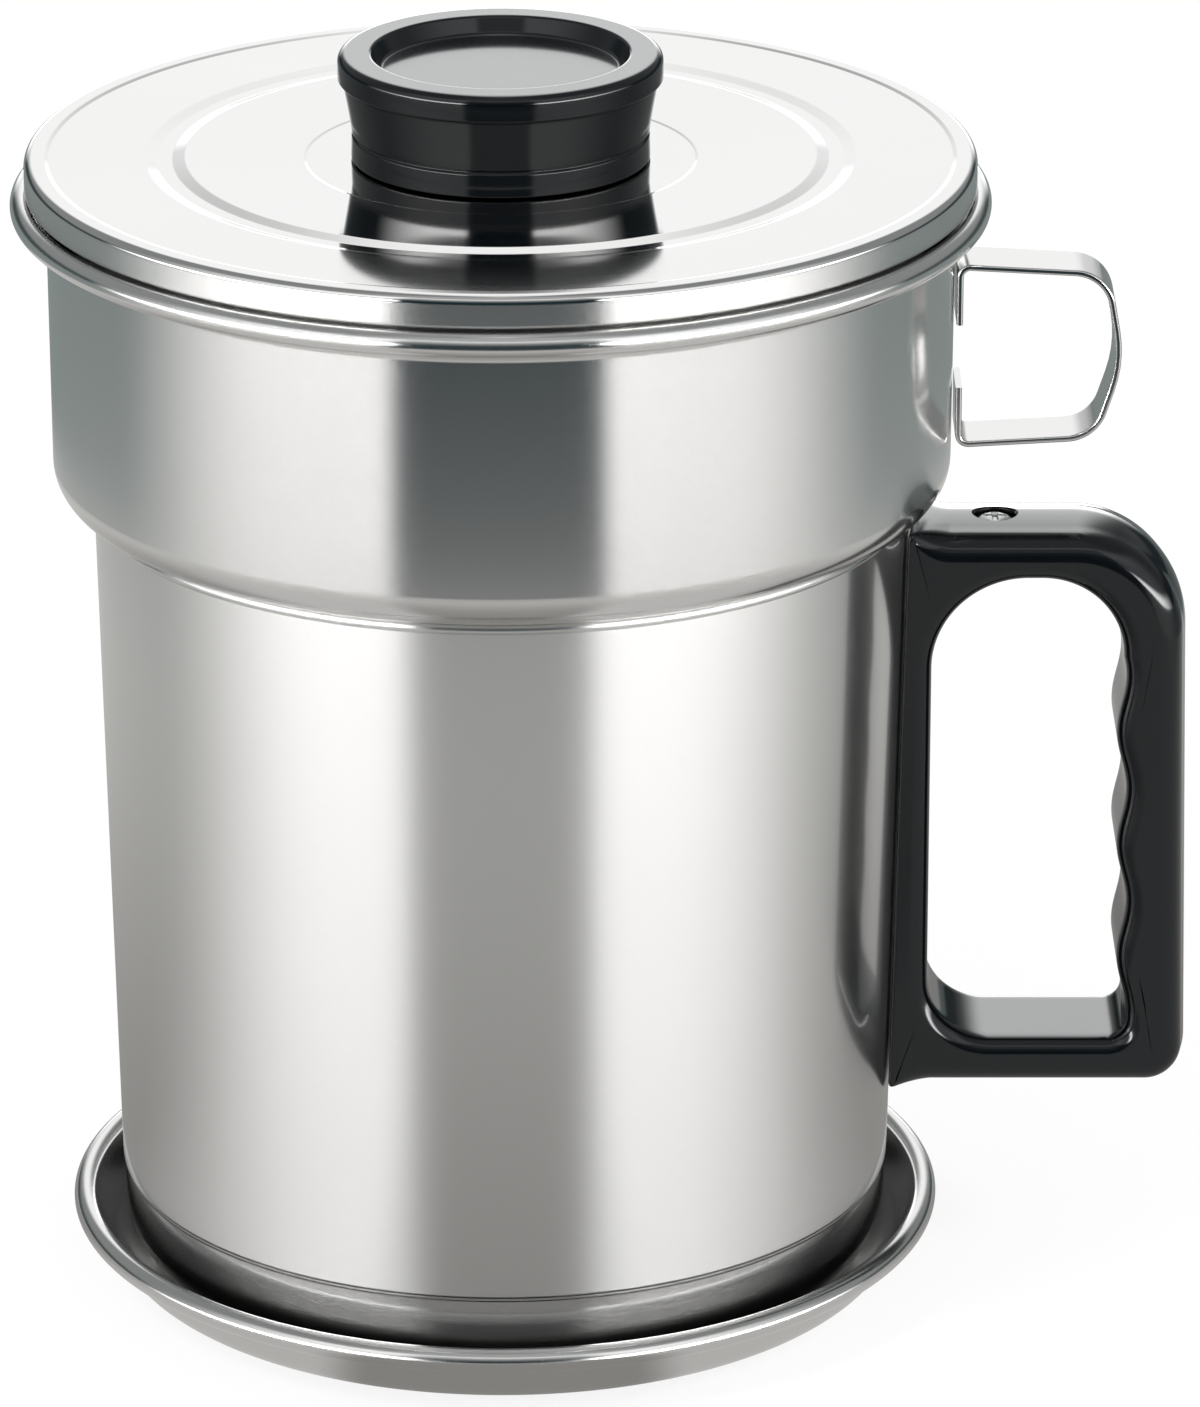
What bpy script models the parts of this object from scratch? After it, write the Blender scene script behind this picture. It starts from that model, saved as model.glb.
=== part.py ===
"""Two-tier strainer pot for cooking fat, modelled as the separate pieces it is made of.

A drip tray carries a tall drawn pot with a moulded D handle.  A wide strainer cup with a bent
strap handle stands with its neck in the pot's mouth, and a pressed lid with a moulded knob
closes the cup.  Units are metres, +Z is up, and the origin is the middle of the tray's underside.
"""
import math

import bmesh
import bpy
import numpy as np

# What holds for the whole object
GAP = 0.0003              # clearance between two pieces that touch
OVERRUN = 0.004           # how far a cutter runs past what it cuts
TURN_STEPS = 48           # facets round the large turned pieces
SMALL_TURN_STEPS = 18     # facets round screws and washers
SMOOTH_ANGLE = math.radians(32)

# Overall sizes, which the rest follow
POT_RADIUS = 0.0638       # outside of the pot's wall at its mouth
POT_HEIGHT = 0.12845
CUP_STEP = 0.0065         # how far the cup's wall stands out past the pot's mouth
CUP_HEIGHT = 0.0487       # from the shoulder's seat on the pot to the crest of the rim

# Drip tray
TRAY_SHEET = 0.0006
TRAY_MARGIN = 0.0084      # from the pot's heel to the outside of the tray's rim
TRAY_HEIGHT = 0.0117
TRAY_CURL_RADIUS = 0.0019
TRAY_CORNER_RADIUS = 0.0060
TRAY_WALL_ANGLE = math.radians(67)

# Pot
POT_SHEET = 0.0005
POT_TAPER = 0.0028        # how much smaller the heel's radius is than the mouth's
POT_HEEL_HEIGHT = 0.0158
POT_HEEL_CORNER_RADIUS = 0.0100
POT_LINE = 0.0004         # how far the brushed wall stands proud of the heel
POT_HEM_RADIUS = 0.0009

# Strainer cup
CUP_SHEET = 0.0005
CUP_TAPER = 0.0003
CUP_SHOULDER_FILLET = 0.00575
CUP_RIM_OVERHANG = 0.0055
CUP_CURL_RADIUS = 0.0019
CUP_FLARE_ANGLE = math.radians(60)
CUP_FLARE_FILLET = 0.0020
NECK_CLEARANCE = 0.0009   # between the neck and the inside of the pot's mouth
NECK_DEPTH = 0.0175
NECK_CORNER_RADIUS = 0.0014
LEDGE_WIDTH = 0.0046      # inward ledge at the foot of the neck, which carries the strainer net

# Strainer net and its clamping ring
NET_THICKNESS = 0.0006
NET_PITCH = 0.0084
NET_BAR = 0.0018
NET_EDGE_CLEARANCE = 0.0016
RING_THICKNESS = 0.0008
RING_WIDTH = 0.0028

# Strap handle of the cup
STRAP_WIDTH = 0.0102
STRAP_THICKNESS = 0.0010
STRAP_REACH = 0.0269      # from the cup's wall to the far side of the loop
STRAP_TOP_DROP = 0.0114   # from the crest of the rim down to the upper leg
STRAP_HEIGHT = 0.0301     # between the outer faces of the two legs
STRAP_TAB_LENGTH = 0.0094
STRAP_TAB_BEND = 0.0016
STRAP_CORNER_RADIUS = 0.0062
STRAP_SIDE_RADIUS = 0.0200
STRAP_SIDE_SHARES = (0.90, 1.0, 0.84)     # reach of the upper corner, the bulge and the lower corner
STRAP_BULGE_SHARE = 0.47                  # height of the bulge between the legs
STRAP_SPLAY = 0.0012      # how much nearer together the legs are at the far side

# Moulded pot handle
HANDLE_THICKNESS = 0.0206
HANDLE_DROP = 0.00475     # from the pot's mouth down to the top of the handle
HANDLE_RISE = 0.0296      # from the pot's base up to the foot of the handle
HANDLE_REACH = 0.0451     # from the wall at the pot's mouth to the far side, at the foot of the grip
HANDLE_LEAN = 0.0018      # how much nearer the grip's far side is at its top
HANDLE_TOP_CORNER = 0.0180
HANDLE_FOOT_CORNER = 0.0066
HANDLE_EDGE_RADIUS = 0.0040
HANDLE_NEAR_LIMB = 0.0035
HANDLE_TOP_ARM = 0.0081
HANDLE_FOOT_ARM = 0.0086
HOLE_EDGE_RADIUS = 0.0028
HOLE_NEAR_TOP_CORNER = 0.0150
HOLE_FAR_TOP_CORNER = 0.0130
HOLE_NEAR_FOOT_CORNER = 0.0100
HOLE_FAR_FOOT_CORNER = 0.0030
GRIP_THICKNESS = 0.0104   # mean thickness between the finger side and the far side
FINGER_PITCH = 0.0190
FINGER_DEPTH = 0.0015
FINGER_START = 0.0257     # from the top of the hole to the uppermost swelling between two fingers

# Brackets welded to the pot and the screw that holds the handle
BRACKET_SHEET = 0.0015
BRACKET_WIDTH = 0.0100
BRACKET_BEND = 0.0016
BRACKET_CLEARANCE = 0.0004
UPPER_BRACKET_COVER = 0.0049   # moulding above the upper tongue
UPPER_BRACKET_LEG = 0.0160
UPPER_BRACKET_END = 0.0079     # how far the tongue goes past the screw
LOWER_BRACKET_COVER = 0.0036   # moulding below the lower tongue
LOWER_BRACKET_LEG = 0.0110
LOWER_BRACKET_REACH = 0.0095
SCREW_OFFSET = 0.0134     # from the wall at the pot's mouth to the screw's axis
SCREW_RADIUS = 0.0016
SCREW_HEAD_RADIUS = 0.0028
SCREW_HEAD_HEIGHT = 0.0017
SCREW_RECESS_CLEARANCE = 0.0004
SCREW_RECESS_DEPTH = 0.0024
SCREW_SLOT_SPAN = 0.0029
SCREW_SLOT_WIDTH = 0.0007
SCREW_SLOT_DEPTH = 0.0009
SCREW_HOLE_CLEARANCE = 0.0004

# Lid
LID_SHEET = 0.0005
LID_INSET = 0.00035       # how far the skirt stands inside the crest of the cup's rim
LID_SKIRT_HEIGHT = 0.00515    # from the foot of the skirt to the band round the lid's edge
LID_SINK = 0.0010         # how far the middle of the lid lies below that band
LID_EDGE_RADIUS = 0.0013
LID_HEM_BEND = 0.0005
LID_COLLAR_CLEARANCE = 0.0004
LID_COLLAR_DEPTH = 0.0036
LID_GROOVE_INSET = 0.02175    # from the skirt to the middle of the pressed groove
LID_GROOVE_WIDTH = 0.0064
LID_GROOVE_DEPTH = 0.0005
LID_GROOVE_FLOOR_SHARE = 0.16
LID_BAND_WIDTH = 0.0050   # from the skirt to the step at the inside of the edge band
LID_BAND_STEP = 0.00025   # how far the edge band stands above the panel
LID_BOSS_MARGIN = 0.0069  # from the knob's base to the faint step round it
LID_BOSS_STEP = 0.00015
LID_HOLE_RADIUS = 0.0023

# Knob and its fixing
KNOB_RADIUS = 0.0251      # at the ring round its top
KNOB_HEIGHT = 0.01655
KNOB_FLARE = 0.0020       # how much smaller the base's radius is than the top ring's
KNOB_WAIST = 0.0001       # how much smaller the waist's radius is than the base's
KNOB_COLLAR_HEIGHT = 0.0036
KNOB_GROOVE = 0.00035
KNOB_EDGE_RADIUS = 0.0014
KNOB_RING_WIDTH = 0.0051
KNOB_RING_HEIGHT = 0.0040
KNOB_RING_STEP = 0.00075   # how far the top ring stands out past the flare below it
KNOB_DISH_DEPTH = 0.0027
KNOB_DISH_SLOPE = 0.0015
KNOB_FOOT_WIDTH = 0.0030
KNOB_FOOT_HEIGHT = 0.0012
KNOB_BOSS_RADIUS = 0.0068
INSERT_RADIUS = 0.0031
INSERT_LENGTH = 0.0085
KNOB_SCREW_RADIUS = 0.0017
KNOB_SCREW_HEAD_RADIUS = 0.0037
KNOB_SCREW_HEAD_HEIGHT = 0.0023
KNOB_SCREW_GRIP = 0.0070  # length of thread inside the insert
WASHER_RADIUS = 0.0055
WASHER_THICKNESS = 0.0008
SPRING_WASHER_RADIUS = 0.0035
SPRING_WASHER_THICKNESS = 0.0009
SPRING_WASHER_OPENING = math.radians(18)

# Heights and radii that follow from the sizes above
POT_BASE_Z = TRAY_SHEET + GAP
POT_TOP_Z = POT_BASE_Z + POT_HEIGHT
SEAT_Z = POT_TOP_Z + GAP
NECK_FOOT_Z = SEAT_Z - NECK_DEPTH
CREST_Z = SEAT_Z + CUP_HEIGHT
SKIRT_FOOT_Z = CREST_Z + GAP
LID_BAND_Z = SKIRT_FOOT_Z + LID_SKIRT_HEIGHT
LID_TOP_Z = LID_BAND_Z - LID_SINK
KNOB_BASE_Z = LID_TOP_Z + GAP
HANDLE_TOP_Z = POT_TOP_Z - HANDLE_DROP
HANDLE_FOOT_Z = POT_BASE_Z + HANDLE_RISE
HOLE_TOP_Z = HANDLE_TOP_Z - HANDLE_TOP_ARM
HOLE_FOOT_Z = HANDLE_FOOT_Z + HANDLE_FOOT_ARM
UPPER_BRACKET_Z = HANDLE_TOP_Z - UPPER_BRACKET_COVER
LOWER_BRACKET_Z = HANDLE_FOOT_Z + LOWER_BRACKET_COVER
POT_HEEL_RADIUS = POT_RADIUS - POT_TAPER
TRAY_RIM_RADIUS = POT_HEEL_RADIUS + TRAY_MARGIN
HANDLE_FAR_X = POT_RADIUS + HANDLE_REACH
HOLE_NEAR_X = POT_RADIUS + HANDLE_NEAR_LIMB
SCREW_X = POT_RADIUS + SCREW_OFFSET
SCREW_RECESS_RADIUS = SCREW_HEAD_RADIUS + SCREW_RECESS_CLEARANCE
NECK_RADIUS = POT_RADIUS - POT_SHEET - NECK_CLEARANCE
CUP_RADIUS = POT_RADIUS + CUP_STEP
CUP_SHOULDER_RADIUS = CUP_RADIUS - CUP_TAPER
CUP_RIM_RADIUS = CUP_RADIUS + CUP_RIM_OVERHANG
LID_RADIUS = CUP_RIM_RADIUS - CUP_CURL_RADIUS - LID_INSET
COLLAR_RADIUS = CUP_RADIUS - CUP_SHEET - LID_COLLAR_CLEARANCE
LID_GROOVE_RADIUS = LID_RADIUS - LID_GROOVE_INSET
LID_PANEL_RADIUS = LID_RADIUS - LID_BAND_WIDTH
KNOB_BASE_RADIUS = KNOB_RADIUS - KNOB_FLARE
KNOB_WAIST_RADIUS = KNOB_BASE_RADIUS - KNOB_WAIST
KNOB_DISH_RADIUS = KNOB_RADIUS - KNOB_RING_WIDTH
KNOB_DISH_FLOOR_RADIUS = KNOB_DISH_RADIUS - KNOB_DISH_SLOPE
LID_BOSS_RADIUS = KNOB_BASE_RADIUS + LID_BOSS_MARGIN


def arc(centre, radius, start, end, steps):
    """Points on a circle from the angle start to the angle end, both kept."""
    angles = np.linspace(start, end, steps + 1)
    return [(centre[0] + radius * math.cos(a), centre[1] + radius * math.sin(a)) for a in angles]


def rounded(corners):
    """A path through corners (x, y, radius, steps): each corner becomes an arc that touches both sides."""
    points = [np.array(corner[:2], dtype=float) for corner in corners]
    path = [points[0]]
    for before, here, after, corner in zip(points, points[1:], points[2:], corners[1:-1]):
        radius, steps = corner[2:]
        if not radius:
            path.append(here)
            continue
        back = (before - here) / np.linalg.norm(before - here)
        ahead = (after - here) / np.linalg.norm(after - here)
        half = math.acos(np.clip(back @ ahead, -1, 1)) / 2
        middle = (back + ahead) / np.linalg.norm(back + ahead)
        centre = here + middle * radius / math.sin(half)
        first = here + back * radius / math.tan(half) - centre
        swing = math.pi - 2 * half
        turn = math.copysign(swing, first[1] * back[0] - first[0] * back[1])
        start = math.atan2(first[1], first[0])
        path.extend(np.array(p) for p in arc(centre, radius, start, start + turn, steps))
    path.append(points[-1])
    return [(float(x), float(y)) for x, y in path]


def sheet_outline(path, thickness):
    """The outline of a sheet whose middle line is path: one side out, the other side back."""
    points = np.array(path)
    runs = np.diff(points, axis=0)
    runs /= np.linalg.norm(runs, axis=1)[:, None]
    before = np.vstack([runs[:1], runs])
    after = np.vstack([runs, runs[-1:]])
    mitre = before + after
    mitre /= np.linalg.norm(mitre, axis=1)[:, None]
    reach = thickness / 2 / np.einsum("ij,ij->i", mitre, after)
    side = np.column_stack([-mitre[:, 1], mitre[:, 0]]) * reach[:, None]
    one, other = points + side, points - side
    return [tuple(p) for p in one.tolist()] + [tuple(p) for p in other[::-1].tolist()]


def material(name, colour, roughness, metallic):
    """A plain Principled material, made once for each name."""
    found = bpy.data.materials.get(name)
    if found:
        return found
    made = bpy.data.materials.new(name)
    made.use_nodes = True
    shader = made.node_tree.nodes["Principled BSDF"]
    shader.inputs["Base Color"].default_value = (*colour, 1)
    shader.inputs["Roughness"].default_value = roughness
    shader.inputs["Metallic"].default_value = metallic
    made.diffuse_color = (*colour, 1)
    return made


def brushed_steel():
    """Stainless sheet with a satin grain round it, as on both walls."""
    return material("brushed_steel", (0.62, 0.61, 0.58), 0.28, 1)


def polished_steel():
    """Stainless sheet with a mirror finish, as on the lid and the tray."""
    return material("polished_steel", (0.72, 0.72, 0.71), 0.12, 1)


def black_moulding():
    """Glossy black moulded phenolic."""
    return material("black_moulding", (0.012, 0.014, 0.017), 0.18, 0)


def plated_steel():
    """Bright plated screws and washers."""
    return material("plated_steel", (0.60, 0.60, 0.60), 0.25, 1)


def brass():
    """Turned brass of the knob's insert."""
    return material("brass", (0.72, 0.52, 0.24), 0.30, 1)


def finish_mesh(name, mesh, made_of):
    """Turns a bmesh into a named object with outward faces and smooth round sides."""
    bmesh.ops.recalc_face_normals(mesh, faces=mesh.faces)
    data = bpy.data.meshes.new(name)
    mesh.to_mesh(data)
    mesh.free()
    data.shade_smooth()
    data.set_sharp_from_angle(angle=SMOOTH_ANGLE)
    data.materials.append(made_of)
    placed = bpy.data.objects.new(name, data)
    bpy.context.scene.collection.objects.link(placed)
    return placed


def turned(name, outline, made_of, steps=TURN_STEPS, sweep=2 * math.pi, at=(0, 0), from_angle=0.0):
    """Spins an outline of (radius, height) points round a vertical axis.

    An outline that starts and ends on the axis is left open there, and any other is closed.
    A sweep short of a full turn gets its two end faces.
    """
    mesh = bmesh.new()
    across = (math.cos(from_angle), math.sin(from_angle))
    rim = [mesh.verts.new((r * across[0], r * across[1], z)) for r, z in outline]
    edges = [mesh.edges.new(pair) for pair in zip(rim, rim[1:])]
    meets_axis = outline[0][0] == 0 and outline[-1][0] == 0
    if not meets_axis:
        edges.append(mesh.edges.new((rim[-1], rim[0])))
    whole = sweep == 2 * math.pi
    ends = bmesh.ops.spin(mesh, geom=rim + edges, axis=(0, 0, 1), cent=(0, 0, 0), angle=sweep,
                          steps=steps, use_merge=whole, use_duplicate=False)
    if not whole:
        last = [part for part in ends["geom_last"] if isinstance(part, bmesh.types.BMVert)]
        mesh.faces.new(rim)
        mesh.faces.new(last)
    bmesh.ops.remove_doubles(mesh, verts=mesh.verts, dist=GAP / 100)
    bmesh.ops.translate(mesh, verts=mesh.verts, vec=(*at, 0))
    return finish_mesh(name, mesh, made_of)


def slab(name, outline, width, made_of):
    """Extrudes an outline of (x, z) points along Y, with its middle on the plane y = 0."""
    mesh = bmesh.new()
    face = mesh.faces.new([mesh.verts.new((x, -width / 2, z)) for x, z in outline])
    grown = bmesh.ops.extrude_face_region(mesh, geom=[face])
    moved = [part for part in grown["geom"] if isinstance(part, bmesh.types.BMVert)]
    bmesh.ops.translate(mesh, verts=moved, vec=(0, width, 0))
    return finish_mesh(name, mesh, made_of)


def combine(target, cutter, operation="DIFFERENCE"):
    """Applies an exact Boolean to target, and keeps the cutter hidden as a wire guide."""
    cutter.hide_render = True
    cutter.display_type = "WIRE"
    step = target.modifiers.new(cutter.name, "BOOLEAN")
    step.operation = operation
    step.solver = "EXACT"
    step.object = cutter


def round_edges(target, width, segments, chosen):
    """Bevels the edges for which chosen(middle of the edge) is true, with a Bevel modifier."""
    weights = target.data.attributes.new("bevel_weight_edge", "FLOAT", "EDGE")
    for edge in target.data.edges:
        ends = [target.data.vertices[index].co for index in edge.vertices]
        weights.data[edge.index].value = 1.0 if chosen(*ends) else 0.0
    step = target.modifiers.new("rounded edges", "BEVEL")
    step.width = width
    step.segments = segments
    step.limit_method = "WEIGHT"
    step.use_clamp_overlap = False
    step.harden_normals = False


def pot_wall_radius(z):
    """Outer radius of the pot's tapered wall at a height above the floor."""
    low = POT_BASE_Z + POT_HEEL_HEIGHT + POT_LINE
    share = (z - low) / (POT_TOP_Z - low)
    foot = POT_HEEL_RADIUS + POT_LINE
    return foot + (POT_RADIUS - foot) * share


def cup_wall_radius(z):
    """Outer radius of the cup's wall between its shoulder and its flared rim."""
    low = SEAT_Z + CUP_SHOULDER_FILLET
    share = (z - low) / (CREST_Z - low)
    return CUP_SHOULDER_RADIUS + (CUP_RADIUS - CUP_SHOULDER_RADIUS) * share


def curl(rim_radius, crest_z, curl_radius, sheet, wall_angle, end, steps):
    """Middle line of a rim rolled outwards and down, from where a wall at wall_angle runs into it."""
    centre = (rim_radius - curl_radius, crest_z - curl_radius)
    return arc(centre, curl_radius - sheet / 2, wall_angle + math.pi / 2, end, steps)


def drip_tray():
    """Shallow dish with a sloping wall and a rolled rim."""
    middle = TRAY_SHEET / 2
    roll = curl(TRAY_RIM_RADIUS, TRAY_HEIGHT, TRAY_CURL_RADIUS, TRAY_SHEET, TRAY_WALL_ANGLE,
                math.radians(-75), 6)
    corner = roll[0][0] - (roll[0][1] - middle) / math.tan(TRAY_WALL_ANGLE)
    path = rounded([(0, middle), (corner, middle, TRAY_CORNER_RADIUS, 3), roll[0]])
    return turned("drip_tray", sheet_outline(path + roll[1:], TRAY_SHEET), polished_steel())


def pot_body():
    """Drawn pot: flat bottom, rounded heel, a fine step and a tapered wall with a hemmed mouth."""
    heel_z = POT_BASE_Z + POT_HEEL_HEIGHT
    outside = rounded([
        (0, POT_BASE_Z),
        (POT_HEEL_RADIUS, POT_BASE_Z, POT_HEEL_CORNER_RADIUS, 5),
        (POT_HEEL_RADIUS, heel_z, 0, 0),
        (POT_HEEL_RADIUS + POT_LINE, heel_z + POT_LINE, 0, 0),
        (POT_RADIUS, POT_TOP_Z - 2 * POT_HEM_RADIUS)])
    hem = arc((POT_RADIUS, POT_TOP_Z - POT_HEM_RADIUS), POT_HEM_RADIUS, -math.pi / 2, math.pi / 2, 4)
    inside = rounded([
        (POT_RADIUS - POT_SHEET, POT_TOP_Z),
        (POT_HEEL_RADIUS - POT_SHEET, heel_z, 0, 0),
        (POT_HEEL_RADIUS - POT_SHEET, POT_BASE_Z + POT_SHEET, POT_HEEL_CORNER_RADIUS - POT_SHEET, 4),
        (0, POT_BASE_Z + POT_SHEET)])
    return turned("pot_body", outside + hem[1:] + inside, brushed_steel())


def strainer_cup():
    """Wide cup: ledge and neck inside the pot, rounded shoulder, wall and rolled rim."""
    half = CUP_SHEET / 2
    roll = curl(CUP_RIM_RADIUS, CREST_Z, CUP_CURL_RADIUS, CUP_SHEET, CUP_FLARE_ANGLE,
                math.radians(-120), 7)
    wall_top = CUP_RADIUS - half
    flare_z = roll[0][1] - (roll[0][0] - wall_top) * math.tan(CUP_FLARE_ANGLE)
    path = rounded([
        (NECK_RADIUS - LEDGE_WIDTH, NECK_FOOT_Z + half),
        (NECK_RADIUS - half, NECK_FOOT_Z + half, NECK_CORNER_RADIUS, 2),
        (NECK_RADIUS - half, SEAT_Z + half, 0, 0),
        (CUP_SHOULDER_RADIUS - half, SEAT_Z + half, CUP_SHOULDER_FILLET - half, 5),
        (wall_top, flare_z, CUP_FLARE_FILLET, 1),
        roll[0]])
    return turned("strainer_cup", sheet_outline(path + roll[1:], CUP_SHEET), brushed_steel())


def net_radius():
    """Outer radius of the net and of the ring that clamps it."""
    return NECK_RADIUS - CUP_SHEET - NET_EDGE_CLEARANCE


def net_z():
    """Height of the net's underside, just above the ledge."""
    return NECK_FOOT_Z + CUP_SHEET + GAP


def strainer_net():
    """Flat net: bars both ways, with a gap wherever a whole cell lies inside the clamping ring."""
    clear = NECK_RADIUS - LEDGE_WIDTH - NET_BAR / 2
    count = int(clear // NET_PITCH)
    starts = NET_PITCH * (np.arange(-count - 1, count + 1)) + NET_BAR / 2
    stops = starts + NET_PITCH - NET_BAR
    reach = net_radius() + OVERRUN
    lines = np.concatenate([[-reach], np.column_stack([starts, stops]).ravel(), [reach]])
    mesh = bmesh.new()
    grid = [[mesh.verts.new((x, y, net_z())) for x in lines] for y in lines]
    for row in range(len(lines) - 1):
        for column in range(len(lines) - 1):
            corners = [(lines[column + i], lines[row + j]) for i in (0, 1) for j in (0, 1)]
            opening = row % 2 and column % 2 and all(math.hypot(*c) < clear for c in corners)
            if not opening:
                mesh.faces.new([grid[row][column], grid[row][column + 1],
                                grid[row + 1][column + 1], grid[row + 1][column]])
    bmesh.ops.dissolve_limit(mesh, angle_limit=math.radians(1), verts=mesh.verts, edges=mesh.edges)
    grown = bmesh.ops.extrude_face_region(mesh, geom=mesh.faces[:])
    moved = [part for part in grown["geom"] if isinstance(part, bmesh.types.BMVert)]
    bmesh.ops.translate(mesh, verts=moved, vec=(0, 0, NET_THICKNESS))
    bmesh.ops.triangulate(mesh, faces=mesh.faces)
    net = finish_mesh("strainer_net", mesh, polished_steel())
    low, high = net_z() - OVERRUN, net_z() + NET_THICKNESS + OVERRUN
    disc = turned("net_outline", [(0, high), (net_radius(), high), (net_radius(), low), (0, low)],
                  polished_steel())
    combine(net, disc, "INTERSECT")
    return net


def net_ring():
    """Flat ring that clamps the net on the ledge."""
    low = net_z() + NET_THICKNESS + GAP
    high = low + RING_THICKNESS
    inner = net_radius() - RING_WIDTH
    outline = [(inner, low), (net_radius(), low), (net_radius(), high), (inner, high)]
    return turned("net_ring", outline, polished_steel())


def cup_strap_handle():
    """Steel strip bent to a D, its two ends turned towards each other on the cup's wall."""
    half = STRAP_THICKNESS / 2
    top = CREST_Z - STRAP_TOP_DROP - half
    foot = top - STRAP_HEIGHT + STRAP_THICKNESS
    wall = max(cup_wall_radius(top), cup_wall_radius(foot)) + GAP + half
    upper, bulge, lower = (wall + (STRAP_REACH - STRAP_THICKNESS) * share for share in STRAP_SIDE_SHARES)
    bulge_z = foot + (top - foot) * STRAP_BULGE_SHARE
    path = rounded([
        (wall, top - STRAP_TAB_LENGTH),
        (wall, top, STRAP_TAB_BEND, 2),
        (upper, top - STRAP_SPLAY, STRAP_CORNER_RADIUS, 4),
        (bulge, bulge_z, STRAP_SIDE_RADIUS, 4),
        (lower, foot + STRAP_SPLAY, STRAP_CORNER_RADIUS, 4),
        (wall, foot, STRAP_TAB_BEND, 2),
        (wall, foot + STRAP_TAB_LENGTH)])
    return slab("cup_strap_handle", sheet_outline(path, STRAP_THICKNESS), STRAP_WIDTH, polished_steel())


def grip_far_side(z):
    """Distance of the grip's far side from the pot's axis: it leans in slightly towards the top."""
    return HANDLE_FAR_X - HANDLE_LEAN * (z - HANDLE_FOOT_Z) / (HANDLE_TOP_Z - HANDLE_FOOT_Z)


def finger_side(z):
    """Distance of the finger side from the axis: the far side's line less the grip, with waves."""
    wave = FINGER_DEPTH / 2 * math.cos(2 * math.pi * (z - HOLE_TOP_Z + FINGER_START) / FINGER_PITCH)
    return grip_far_side(z) - GRIP_THICKNESS - wave


def handle_outline():
    """Outer outline of the moulded handle in the plane y = 0, sunk into the pot for its cut."""
    inside = POT_HEEL_RADIUS - OVERRUN
    return rounded([
        (inside, HANDLE_FOOT_Z),
        (grip_far_side(HANDLE_FOOT_Z), HANDLE_FOOT_Z, HANDLE_FOOT_CORNER, 5),
        (grip_far_side(HANDLE_TOP_Z), HANDLE_TOP_Z, HANDLE_TOP_CORNER, 8),
        (inside, HANDLE_TOP_Z)])


def hole_outline():
    """Outline of the finger hole: rounded corners, and four finger hollows on the grip's side."""
    top_z = HOLE_TOP_Z - HOLE_FAR_TOP_CORNER
    foot_z = HOLE_FOOT_Z + HOLE_FAR_FOOT_CORNER
    count = 5 * int(round((top_z - foot_z) / FINGER_PITCH)) + 2
    waves = [(finger_side(z), z) for z in np.linspace(top_z, foot_z, count)]
    top = rounded([
        (HOLE_NEAR_X, (HOLE_TOP_Z + HOLE_FOOT_Z) / 2),
        (HOLE_NEAR_X, HOLE_TOP_Z, HOLE_NEAR_TOP_CORNER, 6),
        (finger_side(top_z), HOLE_TOP_Z, HOLE_FAR_TOP_CORNER, 5),
        waves[0]])
    foot = rounded([
        waves[-1],
        (finger_side(foot_z), HOLE_FOOT_Z, HOLE_FAR_FOOT_CORNER, 3),
        (HOLE_NEAR_X, HOLE_FOOT_Z, HOLE_NEAR_FOOT_CORNER, 5),
        (HOLE_NEAR_X, (HOLE_TOP_Z + HOLE_FOOT_Z) / 2)])
    return top[1:-1] + waves[1:-1] + foot[1:-1]


def grown(outline, distance):
    """A closed outline with every point moved outwards by distance, square to its two neighbours."""
    points = np.array(outline)
    along = np.roll(points, -1, axis=0) - np.roll(points, 1, axis=0)
    along /= np.linalg.norm(along, axis=1)[:, None]
    x, z = points.T
    area = x @ np.roll(z, -1) - z @ np.roll(x, -1)
    outward = np.column_stack([along[:, 1], -along[:, 0]]) * math.copysign(1, area)
    return points + outward * distance


def hole_cutter(name):
    """Cutter for the finger hole: its outline, flared towards both sides so that it rounds the hole's edges."""
    radius, side = HOLE_EDGE_RADIUS, HANDLE_THICKNESS / 2
    turns = np.linspace(0, math.pi / 2, 4)
    half = [(side - radius + radius * math.sin(t), radius - radius * math.cos(t)) for t in turns]
    half.append((side + OVERRUN, radius))
    sections = [(-y, distance) for y, distance in half[::-1]] + half
    mesh = bmesh.new()
    loops = []
    for y, distance in sections:
        loops.append([mesh.verts.new((x, y, z)) for x, z in grown(hole_outline(), distance)])
    for near, far in zip(loops, loops[1:]):
        for quad in zip(near, near[1:] + near[:1], far[1:] + far[:1], far):
            mesh.faces.new(quad)
    mesh.faces.new(loops[0])
    mesh.faces.new(loops[-1])
    return finish_mesh(name, mesh, black_moulding())


def bracket_seat(z):
    """Distance from the axis to the wall side of a bracket's leg whose thickest part is at z."""
    return pot_wall_radius(z) + GAP


def upper_bracket_path():
    """Middle line of the upper bracket: a leg on the wall and a tongue into the handle's top arm."""
    half = BRACKET_SHEET / 2
    x = bracket_seat(UPPER_BRACKET_Z) + half
    top = UPPER_BRACKET_Z - half
    return rounded([(x, top - UPPER_BRACKET_LEG), (x, top, BRACKET_BEND, 3), (SCREW_X + UPPER_BRACKET_END, top)])


def lower_bracket_path():
    """Middle line of the lower bracket: a leg on the wall and a short tongue into the bottom arm."""
    half = BRACKET_SHEET / 2
    x = bracket_seat(LOWER_BRACKET_Z + LOWER_BRACKET_LEG) + half
    foot = LOWER_BRACKET_Z + half
    return rounded([(x, foot + LOWER_BRACKET_LEG), (x, foot, BRACKET_BEND, 3), (x + LOWER_BRACKET_REACH, foot)])


def bracket(name, path):
    """Steel strip bent to an L."""
    return slab(name, sheet_outline(path, BRACKET_SHEET), BRACKET_WIDTH, plated_steel())


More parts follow.
